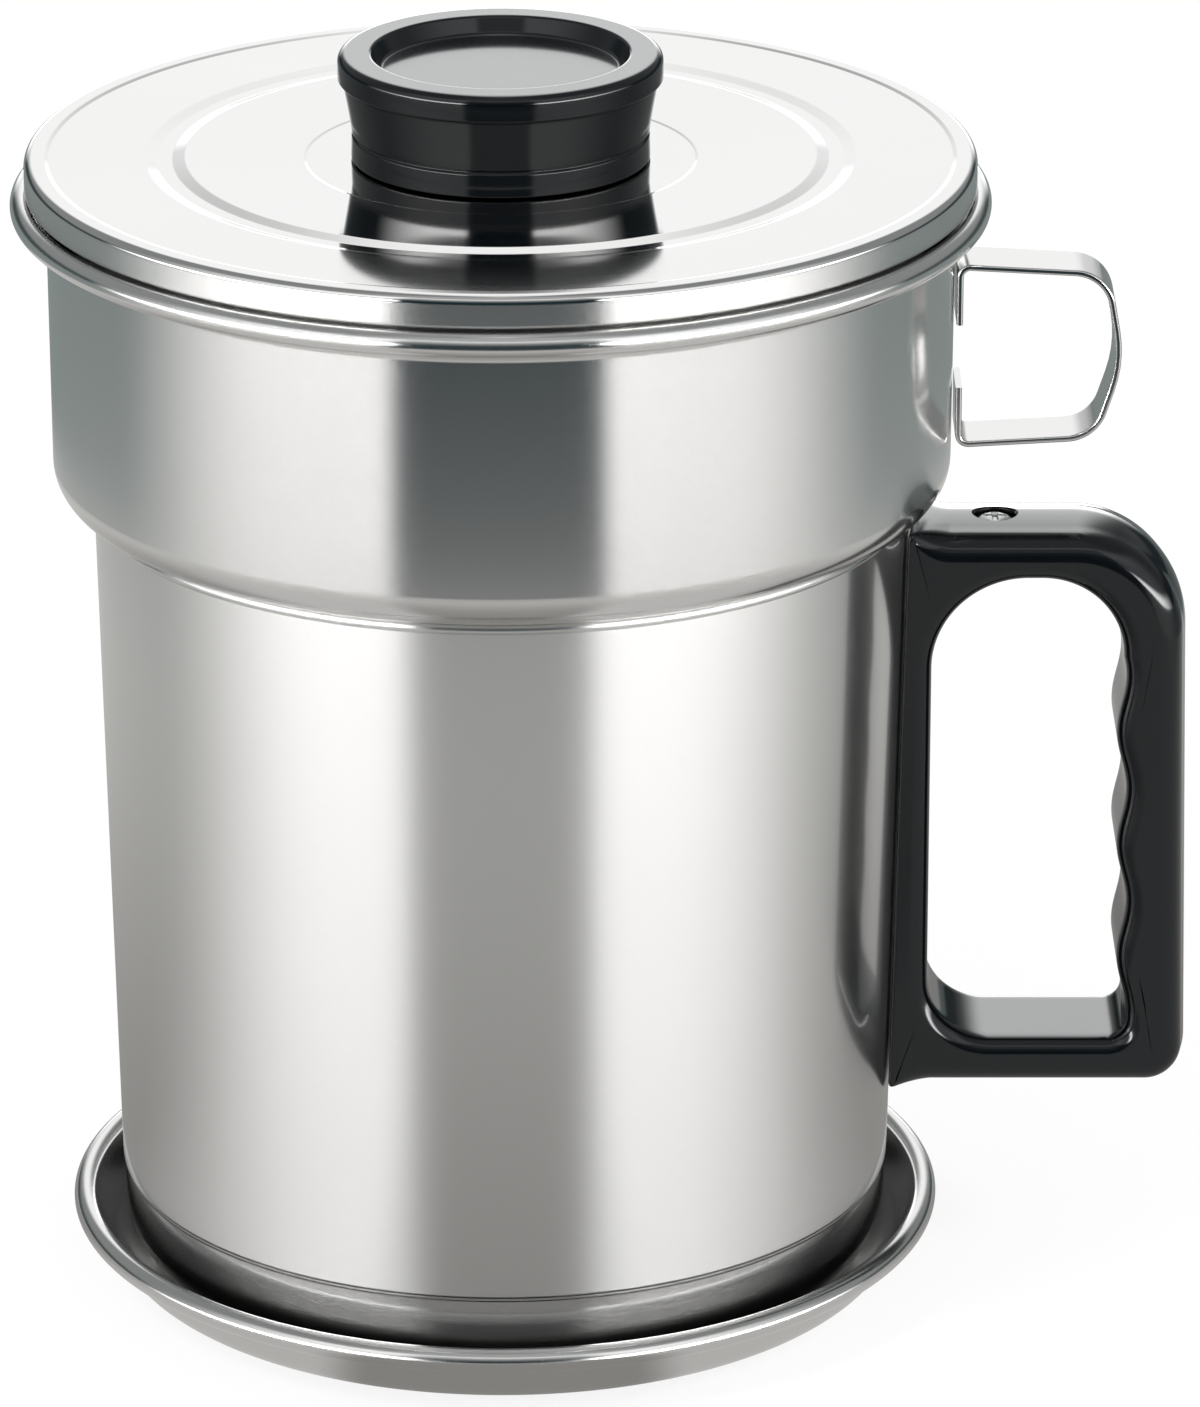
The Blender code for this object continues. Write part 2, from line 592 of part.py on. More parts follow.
def bracket_pocket(name, path):
    """Cutter for the slot that a bracket fills in the handle, open towards the pot's wall."""
    grow = 2 * BRACKET_CLEARANCE
    (leg_x, leg_end), (bend_x, _), (tongue_x, tongue_z) = path[0], path[1], path[-1]
    half = BRACKET_SHEET / 2 + BRACKET_CLEARANCE
    inside = POT_HEEL_RADIUS - OVERRUN
    past = math.copysign(BRACKET_CLEARANCE, leg_end - tongue_z)
    outline = [
        (inside, leg_end + past), (leg_x + half, leg_end + past),
        (leg_x + half, tongue_z + math.copysign(half, past)),
        (tongue_x + BRACKET_CLEARANCE, tongue_z + math.copysign(half, past)),
        (tongue_x + BRACKET_CLEARANCE, tongue_z - math.copysign(half, past)),
        (inside, tongue_z - math.copysign(half, past))]
    return slab(name, outline, BRACKET_WIDTH + grow, black_moulding())


def pot_handle():
    """Moulded D handle: waved finger side, rounded edges, slots for the brackets and a screw hole."""
    handle = slab("pot_handle", handle_outline(), HANDLE_THICKNESS, black_moulding())
    side_y = HANDLE_THICKNESS / 2

    def on_a_flat_side(a, b):
        return a.y == b.y and math.isclose(abs(a.y), side_y, rel_tol=0.001)

    round_edges(handle, HANDLE_EDGE_RADIUS, 3, on_a_flat_side)
    low, high = HANDLE_FOOT_Z - OVERRUN, HANDLE_TOP_Z + OVERRUN
    wall = [(0, high), (pot_wall_radius(high) + GAP, high), (pot_wall_radius(low) + GAP, low), (0, low)]
    combine(handle, turned("wall_cut", wall, black_moulding()))
    combine(handle, hole_cutter("finger_hole"))
    combine(handle, bracket_pocket("upper_slot", upper_bracket_path()))
    combine(handle, bracket_pocket("lower_slot", lower_bracket_path()))
    hole = SCREW_RADIUS + SCREW_HOLE_CLEARANCE
    recess_z = HANDLE_TOP_Z - SCREW_RECESS_DEPTH
    foot = UPPER_BRACKET_Z - BRACKET_SHEET - BRACKET_CLEARANCE
    bore = [(0, high), (SCREW_RECESS_RADIUS, high), (SCREW_RECESS_RADIUS, recess_z), (hole, recess_z),
            (hole, foot), (0, foot)]
    combine(handle, turned("screw_bore", bore, black_moulding(), SMALL_TURN_STEPS, at=(SCREW_X, 0)))
    return handle


def handle_bracket_upper():
    """Upper bracket, with the hole in its tongue that the handle screw threads into."""
    made = bracket("handle_bracket_upper", upper_bracket_path())
    low, high = UPPER_BRACKET_Z - BRACKET_SHEET - OVERRUN, UPPER_BRACKET_Z + OVERRUN
    radius = SCREW_RADIUS + GAP
    hole = [(0, high), (radius, high), (radius, low), (0, low)]
    combine(made, turned("tongue_hole", hole, plated_steel(), SMALL_TURN_STEPS, at=(SCREW_X, 0)))
    return made


def handle_bracket_lower():
    """Lower bracket: a plain tongue that the handle's foot slides on to."""
    return bracket("handle_bracket_lower", lower_bracket_path())


def cross_slot(name, x, high, span, width, depth):
    """Cutter for the crossed driver slots in a screw head, in the shape of a plus."""
    a, b = width / 2, span / 2
    plan = [(a, b), (a, a), (b, a), (b, -a), (a, -a), (a, -b), (-a, -b), (-a, -a), (-b, -a), (-b, a), (-a, a), (-a, b)]
    mesh = bmesh.new()
    face = mesh.faces.new([mesh.verts.new((x + u, v, high - depth)) for u, v in plan])
    grown = bmesh.ops.extrude_face_region(mesh, geom=[face])
    moved = [part for part in grown["geom"] if isinstance(part, bmesh.types.BMVert)]
    bmesh.ops.translate(mesh, verts=moved, vec=(0, 0, depth + OVERRUN))
    return finish_mesh(name, mesh, plated_steel())


def handle_screw():
    """Pan-head screw driven down through the handle's top arm into the bracket's tongue."""
    seat = HANDLE_TOP_Z - SCREW_RECESS_DEPTH + GAP
    top = seat + SCREW_HEAD_HEIGHT
    tip = UPPER_BRACKET_Z - BRACKET_SHEET
    crown = SCREW_HEAD_HEIGHT / 3
    outline = [(0, top), (SCREW_HEAD_RADIUS - crown, top), (SCREW_HEAD_RADIUS, top - crown),
               (SCREW_HEAD_RADIUS, seat), (SCREW_RADIUS, seat), (SCREW_RADIUS, tip), (0, tip)]
    screw = turned("handle_screw", outline, plated_steel(), SMALL_TURN_STEPS, at=(SCREW_X, 0))
    combine(screw, cross_slot("handle_screw_slot", SCREW_X, top, SCREW_SLOT_SPAN, SCREW_SLOT_WIDTH,
                              SCREW_SLOT_DEPTH))
    return screw


def lid_shell():
    """Pressed lid, sunk towards its middle, with a groove, an edge band, a skirt, a hem and a collar."""
    half = LID_SHEET / 2
    flat, band = LID_TOP_Z - half, LID_BAND_Z - half
    panel = band - LID_BAND_STEP
    groove_floor = panel - LID_GROOVE_DEPTH
    wide, narrow = LID_GROOVE_WIDTH / 2, LID_GROOVE_WIDTH / 2 * LID_GROOVE_FLOOR_SHARE
    skirt, hem = LID_RADIUS - half, SKIRT_FOOT_Z + half
    collar = COLLAR_RADIUS - half
    path = rounded([
        (LID_HOLE_RADIUS, flat),
        (LID_BOSS_RADIUS, flat, 0, 0),
        (LID_BOSS_RADIUS + LID_SHEET, flat + LID_BOSS_STEP, 0, 0),
        (LID_GROOVE_RADIUS - wide, panel, 0, 0),
        (LID_GROOVE_RADIUS - narrow, groove_floor, 0, 0),
        (LID_GROOVE_RADIUS + narrow, groove_floor, 0, 0),
        (LID_GROOVE_RADIUS + wide, panel, 0, 0),
        (LID_PANEL_RADIUS, panel, 0, 0),
        (LID_PANEL_RADIUS + 2 * LID_SHEET, band, 0, 0),
        (skirt, band, LID_EDGE_RADIUS - half, 3),
        (skirt, hem, LID_HEM_BEND, 1),
        (collar, hem, LID_HEM_BEND, 1),
        (collar, hem - LID_COLLAR_DEPTH)])
    return turned("lid_shell", sheet_outline(path, LID_SHEET), polished_steel())


def lid_knob():
    """Moulded knob: collar and groove, waist flaring to a top ring, dished top, hollow foot."""
    base, top = KNOB_BASE_Z, KNOB_BASE_Z + KNOB_HEIGHT
    collar_z = base + KNOB_COLLAR_HEIGHT
    dish_z = top - KNOB_DISH_DEPTH
    ring_z = top - KNOB_RING_HEIGHT
    outer = rounded([
        (KNOB_DISH_FLOOR_RADIUS, dish_z),
        (KNOB_DISH_RADIUS, top, KNOB_EDGE_RADIUS / 2, 1),
        (KNOB_RADIUS, top, KNOB_EDGE_RADIUS, 4),
        (KNOB_RADIUS, ring_z, 0, 0),
        (KNOB_RADIUS - KNOB_RING_STEP, ring_z - KNOB_GROOVE, 0, 0),
        (KNOB_WAIST_RADIUS, collar_z + 2 * KNOB_GROOVE, 0, 0),
        (KNOB_WAIST_RADIUS - KNOB_GROOVE, collar_z + KNOB_GROOVE, 0, 0),
        (KNOB_WAIST_RADIUS, collar_z, 0, 0),
        (KNOB_BASE_RADIUS, base)])
    foot_inner = KNOB_BASE_RADIUS - KNOB_FOOT_WIDTH
    ceiling = base + KNOB_FOOT_HEIGHT
    pocket = INSERT_RADIUS + GAP
    pocket_z = base + INSERT_LENGTH + GAP
    under = [(foot_inner, base), (foot_inner, ceiling), (KNOB_BOSS_RADIUS, ceiling), (KNOB_BOSS_RADIUS, base),
             (pocket, base), (pocket, pocket_z), (0, pocket_z)]
    return turned("lid_knob", [(0, dish_z)] + outer + under, black_moulding(), 36)


def knob_insert():
    """Threaded brass insert moulded into the knob."""
    low, high = KNOB_BASE_Z, KNOB_BASE_Z + INSERT_LENGTH
    bore = KNOB_SCREW_RADIUS + GAP
    waist_low, waist_high = low + INSERT_LENGTH / 3, high - INSERT_LENGTH / 3
    waist = INSERT_RADIUS - GAP
    outline = [(bore, low), (INSERT_RADIUS, low), (INSERT_RADIUS, waist_low), (waist, waist_low),
               (waist, waist_high), (INSERT_RADIUS, waist_high), (INSERT_RADIUS, high), (bore, high)]
    return turned("knob_insert", outline, brass(), SMALL_TURN_STEPS)


def washer_top_z():
    """Upper face of the flat washer, just under the lid's sheet."""
    return LID_TOP_Z - LID_SHEET - GAP


def knob_flat_washer():
    """Flat washer that spreads the screw's load under the lid."""
    high = washer_top_z()
    low = high - WASHER_THICKNESS
    bore = KNOB_SCREW_RADIUS + GAP
    outline = [(bore, low), (WASHER_RADIUS, low), (WASHER_RADIUS, high), (bore, high)]
    return turned("knob_flat_washer", outline, plated_steel(), SMALL_TURN_STEPS)


def knob_spring_washer():
    """Split spring washer between the flat washer and the screw's head."""
    high = washer_top_z() - WASHER_THICKNESS - GAP
    low = high - SPRING_WASHER_THICKNESS
    bore = KNOB_SCREW_RADIUS + GAP
    outline = [(bore, low), (SPRING_WASHER_RADIUS, low), (SPRING_WASHER_RADIUS, high), (bore, high)]
    sweep = 2 * math.pi - SPRING_WASHER_OPENING
    return turned("knob_spring_washer", outline, plated_steel(), SMALL_TURN_STEPS, sweep,
                  from_angle=SPRING_WASHER_OPENING / 2)


def knob_screw():
    """Pan-head screw that comes up through the lid into the knob's insert."""
    seat = washer_top_z() - WASHER_THICKNESS - SPRING_WASHER_THICKNESS - 2 * GAP
    foot = seat - KNOB_SCREW_HEAD_HEIGHT
    tip = KNOB_BASE_Z + KNOB_SCREW_GRIP
    crown = KNOB_SCREW_HEAD_HEIGHT / 3
    outline = [(0, tip), (KNOB_SCREW_RADIUS - GAP, tip), (KNOB_SCREW_RADIUS, tip - GAP),
               (KNOB_SCREW_RADIUS, seat), (KNOB_SCREW_HEAD_RADIUS, seat), (KNOB_SCREW_HEAD_RADIUS, foot + crown),
               (KNOB_SCREW_HEAD_RADIUS - crown, foot), (0, foot)]
    return turned("knob_screw", outline, plated_steel(), SMALL_TURN_STEPS)


def clear_scene():
    """Empties the scene, so that the script can be run again."""
    for old in list(bpy.data.objects):
        bpy.data.objects.remove(old, do_unlink=True)


def carried_by(name, parent, pieces):
    """An empty on the axis of a lift, which carries the pieces that lift together."""
    hub = bpy.data.objects.new(name, None)
    hub.empty_display_size = GRIP_THICKNESS
    bpy.context.scene.collection.objects.link(hub)
    hub.parent = parent
    for piece in pieces:
        piece.parent = hub
    return hub


def main():
    """Builds every piece and parents it to the tier that it lifts with."""
    clear_scene()
    tray = carried_by("tray_tier", None, [drip_tray()])
    pot = carried_by("pot_tier", tray, [pot_body(), pot_handle(), handle_bracket_upper(),
                                        handle_bracket_lower(), handle_screw()])
    cup = carried_by("cup_tier", pot, [strainer_cup(), strainer_net(), net_ring(), cup_strap_handle()])
    carried_by("lid_tier", cup, [lid_shell(), lid_knob(), knob_insert(), knob_flat_washer(),
                                 knob_spring_washer(), knob_screw()])


main()
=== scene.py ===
"""Finish of a two-tier steel strainer pot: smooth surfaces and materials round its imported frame, and the studio.

Every size is in metres in the frame's own axes: +Z up along the pot's axis and +X towards both handles.
"""

import math

import bmesh
import bpy
import numpy as np
from bpy.props import FloatProperty, FloatVectorProperty, PointerProperty
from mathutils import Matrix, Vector


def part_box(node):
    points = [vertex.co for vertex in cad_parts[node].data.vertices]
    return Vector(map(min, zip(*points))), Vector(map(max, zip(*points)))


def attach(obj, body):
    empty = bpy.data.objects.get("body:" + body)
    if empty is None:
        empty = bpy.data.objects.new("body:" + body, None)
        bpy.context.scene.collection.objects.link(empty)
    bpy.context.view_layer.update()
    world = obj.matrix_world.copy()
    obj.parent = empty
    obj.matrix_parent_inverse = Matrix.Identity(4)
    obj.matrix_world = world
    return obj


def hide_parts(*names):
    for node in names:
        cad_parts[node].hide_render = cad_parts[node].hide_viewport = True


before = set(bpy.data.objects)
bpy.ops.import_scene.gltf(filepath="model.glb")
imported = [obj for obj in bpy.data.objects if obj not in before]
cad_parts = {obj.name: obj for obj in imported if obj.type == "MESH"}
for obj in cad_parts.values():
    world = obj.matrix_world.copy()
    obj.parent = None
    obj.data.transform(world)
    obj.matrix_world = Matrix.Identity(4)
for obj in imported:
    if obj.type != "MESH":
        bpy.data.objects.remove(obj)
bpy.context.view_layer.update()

bl_info = {
    "name": "Strainer pot finish",
    "version": (1, 0, 0),
    "blender": (4, 5, 0),
    "location": "View3D > Sidebar > Strainer pot",
    "description": "Smooth pieces, finishes and studio for a two-tier steel strainer pot",
    "category": "Mesh",
}

MM = 0.001
CLEARANCE = 0.3 * MM  # between two pieces that rest on each other
SAME_PLACE = 1e-7  # points nearer than this are one point
TURN_STEPS = 288  # points round a turned piece
KNOB_STEPS = 192
RECESS_STEPS = 72
ARC_STEP = math.radians(6)
FINE_STEP = math.radians(1)  # on the handle's outlines
SMOOTH_ANGLE = math.radians(30)  # sharper edges than this stay sharp
MOULDED_SMOOTH_ANGLE = math.radians(40)
SCREW_SMOOTH_ANGLE = math.radians(50)
WIRE_SMOOTH_ANGLE = math.radians(80)

# Where the pot and the handle meet
WALL_START = 16.2 * MM  # from the pot's base up to its straight wall
WALL_FOOT_RADIUS = 61.4 * MM
MOUTH_RADIUS = 63.8 * MM
SCREW_X = 77.2 * MM  # axis of the handle's screw
RECESS_DEPTH = 2.4 * MM  # from the handle's top down to the screw's seat

# Noise of the finishes, in cells to a metre along the turn and across it
GRAIN_ALONG, GRAIN_ACROSS = 60, 5200
CLOUD_ALONG, CLOUD_ACROSS = 26, 9
POLISH_LINES, POLISH_SMEAR = 2600, 30
MOULD_RIPPLE, MOULD_DULL = 150, 60
PLATE_ALONG, PLATE_ACROSS, PLATE_CLOUD = 900, 6000, 300
GRAIN_TURN = 0.25  # lays the grain round the axis on an upright wall

# What metal mirrors of the studio, as colours
DARK = (0.012, 0.026, 0.032, 1)  # the gap between the soft boxes
DIM_SIDE = (0.05, 0.065, 0.068, 1)
FRONT_HIGH = (0.09, 0.105, 0.11, 1)
FRONT_HIGHER = (0.42, 0.43, 0.43, 1)
SIDE_HIGH = (0.26, 0.27, 0.27, 1)
TABLE_FRONT = (0.29, 0.285, 0.275, 1)
TABLE_SIDE = (0.56, 0.55, 0.54, 1)
TABLE_EDGE = (0.56, 0.555, 0.54, 1)
SHEET_WHITE = (0.86, 0.845, 0.835, 1)
BACK_GREY = (0.235, 0.268, 0.262, 1)

# Its edges, from where each starts to change to where it has changed: bearings away from the camera's side
# and rises above the horizon in degrees, and distances from the pot's axis in metres
TABLE_SIDES, TABLE_BACK, TABLE_FADE, TABLE_END = (20, 30), (60, 110), (0.08, 0.34), (0.375, 0.455)
SHEET_EDGE, SHEET_BACK = (22, 29), (56, 108)
ROOM_BACK, ROOM_SIDE, ROOM_RISE, ROOM_HIGHER = (60, 110), (26, 70), (8, 16), (22, 34)
BOX_EDGE, BOX_BACK, BOX_FOOT, BOX_TOP = (22, 28), (48, 108), (3, 11), (40, 54)
BACKDROP_EDGE, BACKDROP_FOOT, BACKDROP_TOP = (158, 175), (4, 14), (56, 80)
PANEL_EDGE, PANEL_FOOT, PANEL_TOP = (16, 40), (44, 47), (50, 53)
# Levels at the two ends of an edge
FALL = (1.0, 0.0)
BOX_FOOT_LEVELS, BOX_TOP_LEVELS = (17.5, 0.8), (1.0, 0.02)
BACKDROP_FOOT_LEVELS, BACKDROP_TOP_LEVELS = (4.0, 1.0), (0.84, 0.4)
PANEL_LEVELS = (0.8, 0.0)

WHITE = (1.0, 1.0, 1.0, 1)
FLOOR_GREY = (0.86, 0.86, 0.86, 1)
FLOOR_WHITE_SHARE = 0.86  # how much of the floor the camera sees as plain white
IMAGE_HEIGHT, FOCAL_PIXELS, SENSOR_WIDTH = 1407, 8500, 36.0
LAMP_AIM = (0.02, 0, 0.1)
# Each lamp's name, place, width and share of the lamp strength
LAMPS = (("lamp_left", (-0.75, -0.55, 1.1), 0.35, 1.0), ("lamp_right", (0.95, -0.35, 0.9), 0.25, 0.7))


# Shapes

def top_of(node):
    """Highest point of a frame node."""
    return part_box(node)[1].z


def foot_of(node):
    """Lowest point of a frame node."""
    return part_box(node)[0].z


def radius_of(node):
    """Largest radius of a turned frame node about the pot's axis."""
    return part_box(node)[1].x


def rounded_path(corners, guard=0.12 * MM, step=ARC_STEP):
    """Runs through corners (x, z, radius): a corner with a radius becomes an arc tangent to both its runs,
    with a guard point just outside each end of the arc, which keeps flat runs flat in shading."""
    spots = [np.array(corner[:2], float) for corner in corners]
    path = [spots[0][None]]
    for before, here, after, corner in zip(spots, spots[1:], spots[2:], corners[1:-1]):
        back = (before - here) / np.linalg.norm(before - here)
        ahead = (after - here) / np.linalg.norm(after - here)
        radius = corner[2] if len(corner) > 2 else 0
        if radius == 0:
            path.append(np.array([here + back * guard, here, here + ahead * guard]))
            continue
        half = math.acos(np.clip(back @ ahead, -1, 1)) / 2
        middle = (back + ahead) / np.linalg.norm(back + ahead)
        centre = here + middle * radius / math.sin(half)
        first = here + back * radius / math.tan(half)
        last = here + ahead * radius / math.tan(half)
        swing = math.pi - 2 * half
        turn = math.copysign(swing, (first - centre)[1] * back[0] - (first - centre)[0] * back[1])
        start = math.atan2(*(first - centre)[::-1])
        angles = start + turn * np.linspace(0, 1, 1 + max(3, math.ceil(swing / step)))
        bend = centre + radius * np.column_stack([np.cos(angles), np.sin(angles)])
        path.append(np.vstack([first + back * guard, bend, last + ahead * guard]))
    path.append(spots[-1][None])
    return np.vstack(path)


def rounded_box(left, right, low, high, edge, seam):
    """Closed outline of a rectangle with rounded corners, from a seam on its lower side."""
    return rounded_path([
        (seam, low), (right, low, edge), (right, high, edge), (left, high, edge), (left, low, edge), (seam, low)])[:-1]


def arc(centre, radius, start, end):
    """Points on a circle from angle start to angle end, a few degrees apart."""
    angles = np.linspace(start, end, 1 + math.ceil(abs(end - start) / ARC_STEP))
    return np.array(centre) + radius * np.column_stack([np.cos(angles), np.sin(angles)])


def normals_of(points, closed):
    """Unit normals to the left of a path, each the mean of the two runs that meet at the point."""
    ahead = np.roll(points, -1, axis=0) - points
    ahead /= np.maximum(np.linalg.norm(ahead, axis=1), 1e-12)[:, None]
    behind = np.roll(ahead, 1, axis=0)
    if not closed:
        ahead[-1], behind[0] = behind[-1], ahead[0]
    mean = ahead + behind
    mean /= np.linalg.norm(mean, axis=1)[:, None]
    stretch = 1 / np.clip(np.einsum("ij,ij->i", mean, ahead), 0.5, 1)
    return np.column_stack([-mean[:, 1], mean[:, 0]]) * stretch[:, None]


def sheet_profile(middle, thickness):
    """Closed outline of a sheet about its middle line: out along one side and back along the other."""
    side = normals_of(middle, False) * thickness / 2
    return np.vstack([middle + side, (middle - side)[::-1]])


def clean(points):
    """A path without points that repeat the one before."""
    gap = np.linalg.norm(np.diff(points, axis=0), axis=1)
    return points[np.concatenate([[True], gap > SAME_PLACE])]


def placed(name, data):
    """An object at the origin that shows some data, linked to the scene."""
    made = bpy.data.objects.new(name, data)
    bpy.context.scene.collection.objects.link(made)
    return made


def smoothed(data, sharp):
    """Smooth shading, but for edges sharper than an angle."""
    data.shade_smooth()
    data.set_sharp_from_angle(angle=sharp)


def mesh_object(name, body, points, faces, node=None, sharp=SMOOTH_ANGLE):
    """A smooth shaded mesh that rides on a body and stands for a frame node."""
    data = bpy.data.meshes.new(name)
    data.from_pydata(points.tolist(), [], faces)
    made = bmesh.new()
    made.from_mesh(data)
    bmesh.ops.remove_doubles(made, verts=made.verts, dist=SAME_PLACE)
    bmesh.ops.recalc_face_normals(made, faces=made.faces)
    made.to_mesh(data)
    made.free()
    smoothed(data, sharp)
    piece = placed(name, data)
    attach(piece, body)
    if node:
        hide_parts(node)
    return piece


def grid_faces(rows, columns, closed_rows, closed_columns):
    """Quads of a grid of rows x columns points, joined round at the closed sides."""
    a = np.arange(rows if closed_rows else rows - 1)[:, None]
    b = np.arange(columns if closed_columns else columns - 1)[None]
    a2, b2 = (a + 1) % rows, (b + 1) % columns
    quads = np.stack([a * columns + b, a * columns + b2, a2 * columns + b2, a2 * columns + b], axis=-1)
    return quads.reshape(-1, 4)


def tube_faces(rings, steps):
    """Quads of a tube of rings, with both ends closed."""
    ends = [list(range(steps)), list(range((rings - 1) * steps, rings * steps))]
    return grid_faces(rings, steps, False, True).tolist() + ends


def full_turn(steps):
    """Evenly spaced angles all round."""
    return np.linspace(0, 2 * math.pi, steps, endpoint=False)


def carried_round(r, z, angle):
    """Points at radius r and height z, at each of the angles."""
    return np.stack(np.broadcast_arrays(r * np.cos(angle), r * np.sin(angle), z), axis=-1).reshape(-1, 3)


def turned(name, body, profile, node=None, steps=TURN_STEPS, at=(0, 0)):
    """Profile (r, z) carried round the axis: x = r cos a, y = r sin a.  A profile that starts and ends on
    the axis closes there in a fan, and any other closes on itself."""
    profile = clean(np.asarray(profile, float))
    capped = profile[0, 0] < SAME_PLACE and profile[-1, 0] < SAME_PLACE
    ring = profile[1:-1] if capped else profile
    points = carried_round(ring[:, :1], ring[:, 1:], full_turn(steps))
    faces = grid_faces(len(ring), steps, not capped, True).tolist()
    if capped:
        poles = np.array([[0, 0, profile[0, 1]], [0, 0, profile[-1, 1]]])
        around = np.arange(steps)
        after = (around + 1) % steps
        last = (len(ring) - 1) * steps
        first_pole, last_pole = len(points), len(points) + 1
        points = np.vstack([points, poles])
        faces += np.column_stack([0 * around + first_pole, after, around]).tolist()
        faces += np.column_stack([0 * around + last_pole, last + around, last + after]).tolist()
    return mesh_object(name, body, points + np.array([*at, 0]), faces, node)


# Shader maths

class Value:
    """A socket that can be used in sums: each operator adds a Math node."""

    def __init__(self, shader, socket):
        self.shader, self.socket = shader, socket

    def __add__(self, other):
        return self.shader.maths("ADD", self, other)

    def __radd__(self, other):
        return self.shader.maths("ADD", other, self)

    def __rsub__(self, other):
        return self.shader.maths("SUBTRACT", other, self)

    def __mul__(self, other):
        return self.shader.maths("MULTIPLY", self, other)

    def __rmul__(self, other):
        return self.shader.maths("MULTIPLY", other, self)


class Shader:
    """A node tree being built."""

    def __init__(self, tree):
        self.tree = tree

    def node(self, kind, settings=None, sockets=None, output=0):
        """Adds a node of a type, makes its settings, then sets or links its sockets, and gives one output."""
        made = self.tree.nodes.new("ShaderNode" + kind)
        for key, value in (settings or {}).items():
            setattr(made, key, value)
        for key, value in (sockets or {}).items():
            if isinstance(value, Value):
                self.tree.links.new(value.socket, made.inputs[key])
            else:
                made.inputs[key].default_value = value
        return Value(self, made.outputs[output]) if made.outputs else made

    def maths(self, operation, first, second=0.0):
        """A Math node."""
        return self.node("Math", {"operation": operation}, {0: first, 1: second})

    def parts(self, vector):
        """x, y and z of a vector."""
        return [self.node("SeparateXYZ", sockets={0: vector}, output=i) for i in range(3)]

    def place(self):
        """x, y and z of Object coordinates."""
        return self.parts(self.node("TexCoord", output="Object"))

    def vector(self, x, y, z):
        """Three values as one vector."""
        return self.node("CombineXYZ", sockets={0: x, 1: y, 2: z})

    def reach(self, x, y):
        """Distance from the pot's axis."""
        return self.node("VectorMath", {"operation": "LENGTH"}, {0: self.vector(x, y, 0.0)}, output="Value")

    def upward(self):
        """How far the surface faces up, from -1 to 1."""
        return self.parts(self.node("NewGeometry", output="Normal"))[2]

    def degrees(self, operation, first, second=0.0):
        """An angle from a Math node, in degrees."""
        return self.maths(operation, first, second) * (180 / math.pi)

    def mirrored_ray(self):
        """1 for what metal mirrors and for what shows through clear pieces, and 0 for all else."""
        glossy, clear = [self.node("LightPath", output=ray) for ray in ("Is Glossy Ray", "Is Transmission Ray")]
        return self.maths("MAXIMUM", glossy, clear)

    def ease(self, value, low, high, bottom=0.0, top=1.0):
        """Goes smoothly from bottom to top as value goes from low to high."""
        ends = {"From Min": low, "From Max": high, "To Min": bottom, "To Max": top}
        return self.node("MapRange", {"interpolation_type": "SMOOTHSTEP"}, {"Value": value, **ends})

    def noise(self, x, y, z, detail=2.0, roughness=0.5):
        """Noise from 0 to 1 in a stretched space."""
        return self.node("TexNoise", sockets={"Vector": self.vector(x, y, z), "Scale": 1.0, "Detail": detail,
                                              "Roughness": roughness})

    def blend(self, factor, first, second):
        """Mix of two colours."""
        return self.node("Mix", {"data_type": "RGBA"}, {"Factor": factor, 6: first, 7: second}, output=2)

    def bump(self, height, strength, distance):
        """Normal of a bumpy surface."""
        return self.node("Bump", sockets={"Height": height, "Strength": strength, "Distance": distance},
                         output="Normal")


def bare_shader(block):
    """A Shader for a material or a world, without the nodes that it came with."""
    block.use_nodes = True
    block.node_tree.nodes.clear()
    return Shader(block.node_tree)


def finish_named(name, recipe, **uniform):
    """A material with a Principled shader: uniform sockets set straight, the recipe's values linked."""
    made = bpy.data.materials.get(name + "_finish")
    if made:
        return made
    made = bpy.data.materials.new(name + "_finish")
    made.use_nodes = True
    shader = Shader(made.node_tree)
    principled = made.node_tree.nodes["Principled BSDF"]
    for key, value in uniform.items():
        principled.inputs[key.replace("_", " ")].default_value = value
    for key, value in recipe(shader).items():
        made.node_tree.links.new(value.socket, principled.inputs[key.replace("_", " ")])
    return made


def rgba(colour, gain=1.0):
    """A colour with full alpha."""
    return (colour[0] * gain, colour[1] * gain, colour[2] * gain, 1.0)


def wear(finish, piece):
    """Puts a finish on a piece in place of what it had."""
    piece.data.materials.clear()
    piece.data.materials.append(finish)
    return piece


def satin_steel(name, roughness, polished_and_shaded_below=None):
    """Stainless sheet grained round the axis: noise drawn out along the turn, fine lines in height, and a polished
    foot below a height where the wall has one, whose colour is darkened there as painted shade."""
    look = bpy.context.scene.pot_steel
    tone, blur, bump_share, bump_height = look.colour, 0.1 * MM, 0.05, 0.02 * MM
    dim_gain, bright_gain, grain_rough, cloud_rough = 0.965, 1.02, 0.02, 0.02

    def recipe(shader):
        x, y, z = shader.place()
        grain = shader.noise(x * GRAIN_ALONG, y * GRAIN_ALONG, z * GRAIN_ACROSS, 3.0, 0.6)
        cloud = shader.noise(x * CLOUD_ALONG, y * CLOUD_ALONG, z * CLOUD_ACROSS)
        colour = shader.blend(cloud, rgba(tone, dim_gain), rgba(tone, bright_gain))
        rough = roughness - grain_rough + grain * grain_rough + cloud * cloud_rough
        height = grain
        if polished_and_shaded_below is not None:
            # Painted shade: below this height the colour turns darker, standing in for the shade between the heel and
            # the tray; the roughness there is the real polish.
            wall = shader.ease(z, polished_and_shaded_below - blur, polished_and_shaded_below + blur)
            colour = shader.blend(wall, rgba(tone, look.heel_painted_shade), colour)
            rough = wall * rough + (1 - wall) * look.heel_roughness
            height = height * wall
        return {"Base Color": colour, "Roughness": rough, "Normal": shader.bump(height, bump_share, bump_height)}

    return finish_named(name, recipe, Metallic=1.0, Anisotropic=look.anisotropy, Anisotropic_Rotation=GRAIN_TURN,
                        Coat_Weight=1.0, Coat_Roughness=look.sheen_roughness, Coat_IOR=look.sheen)


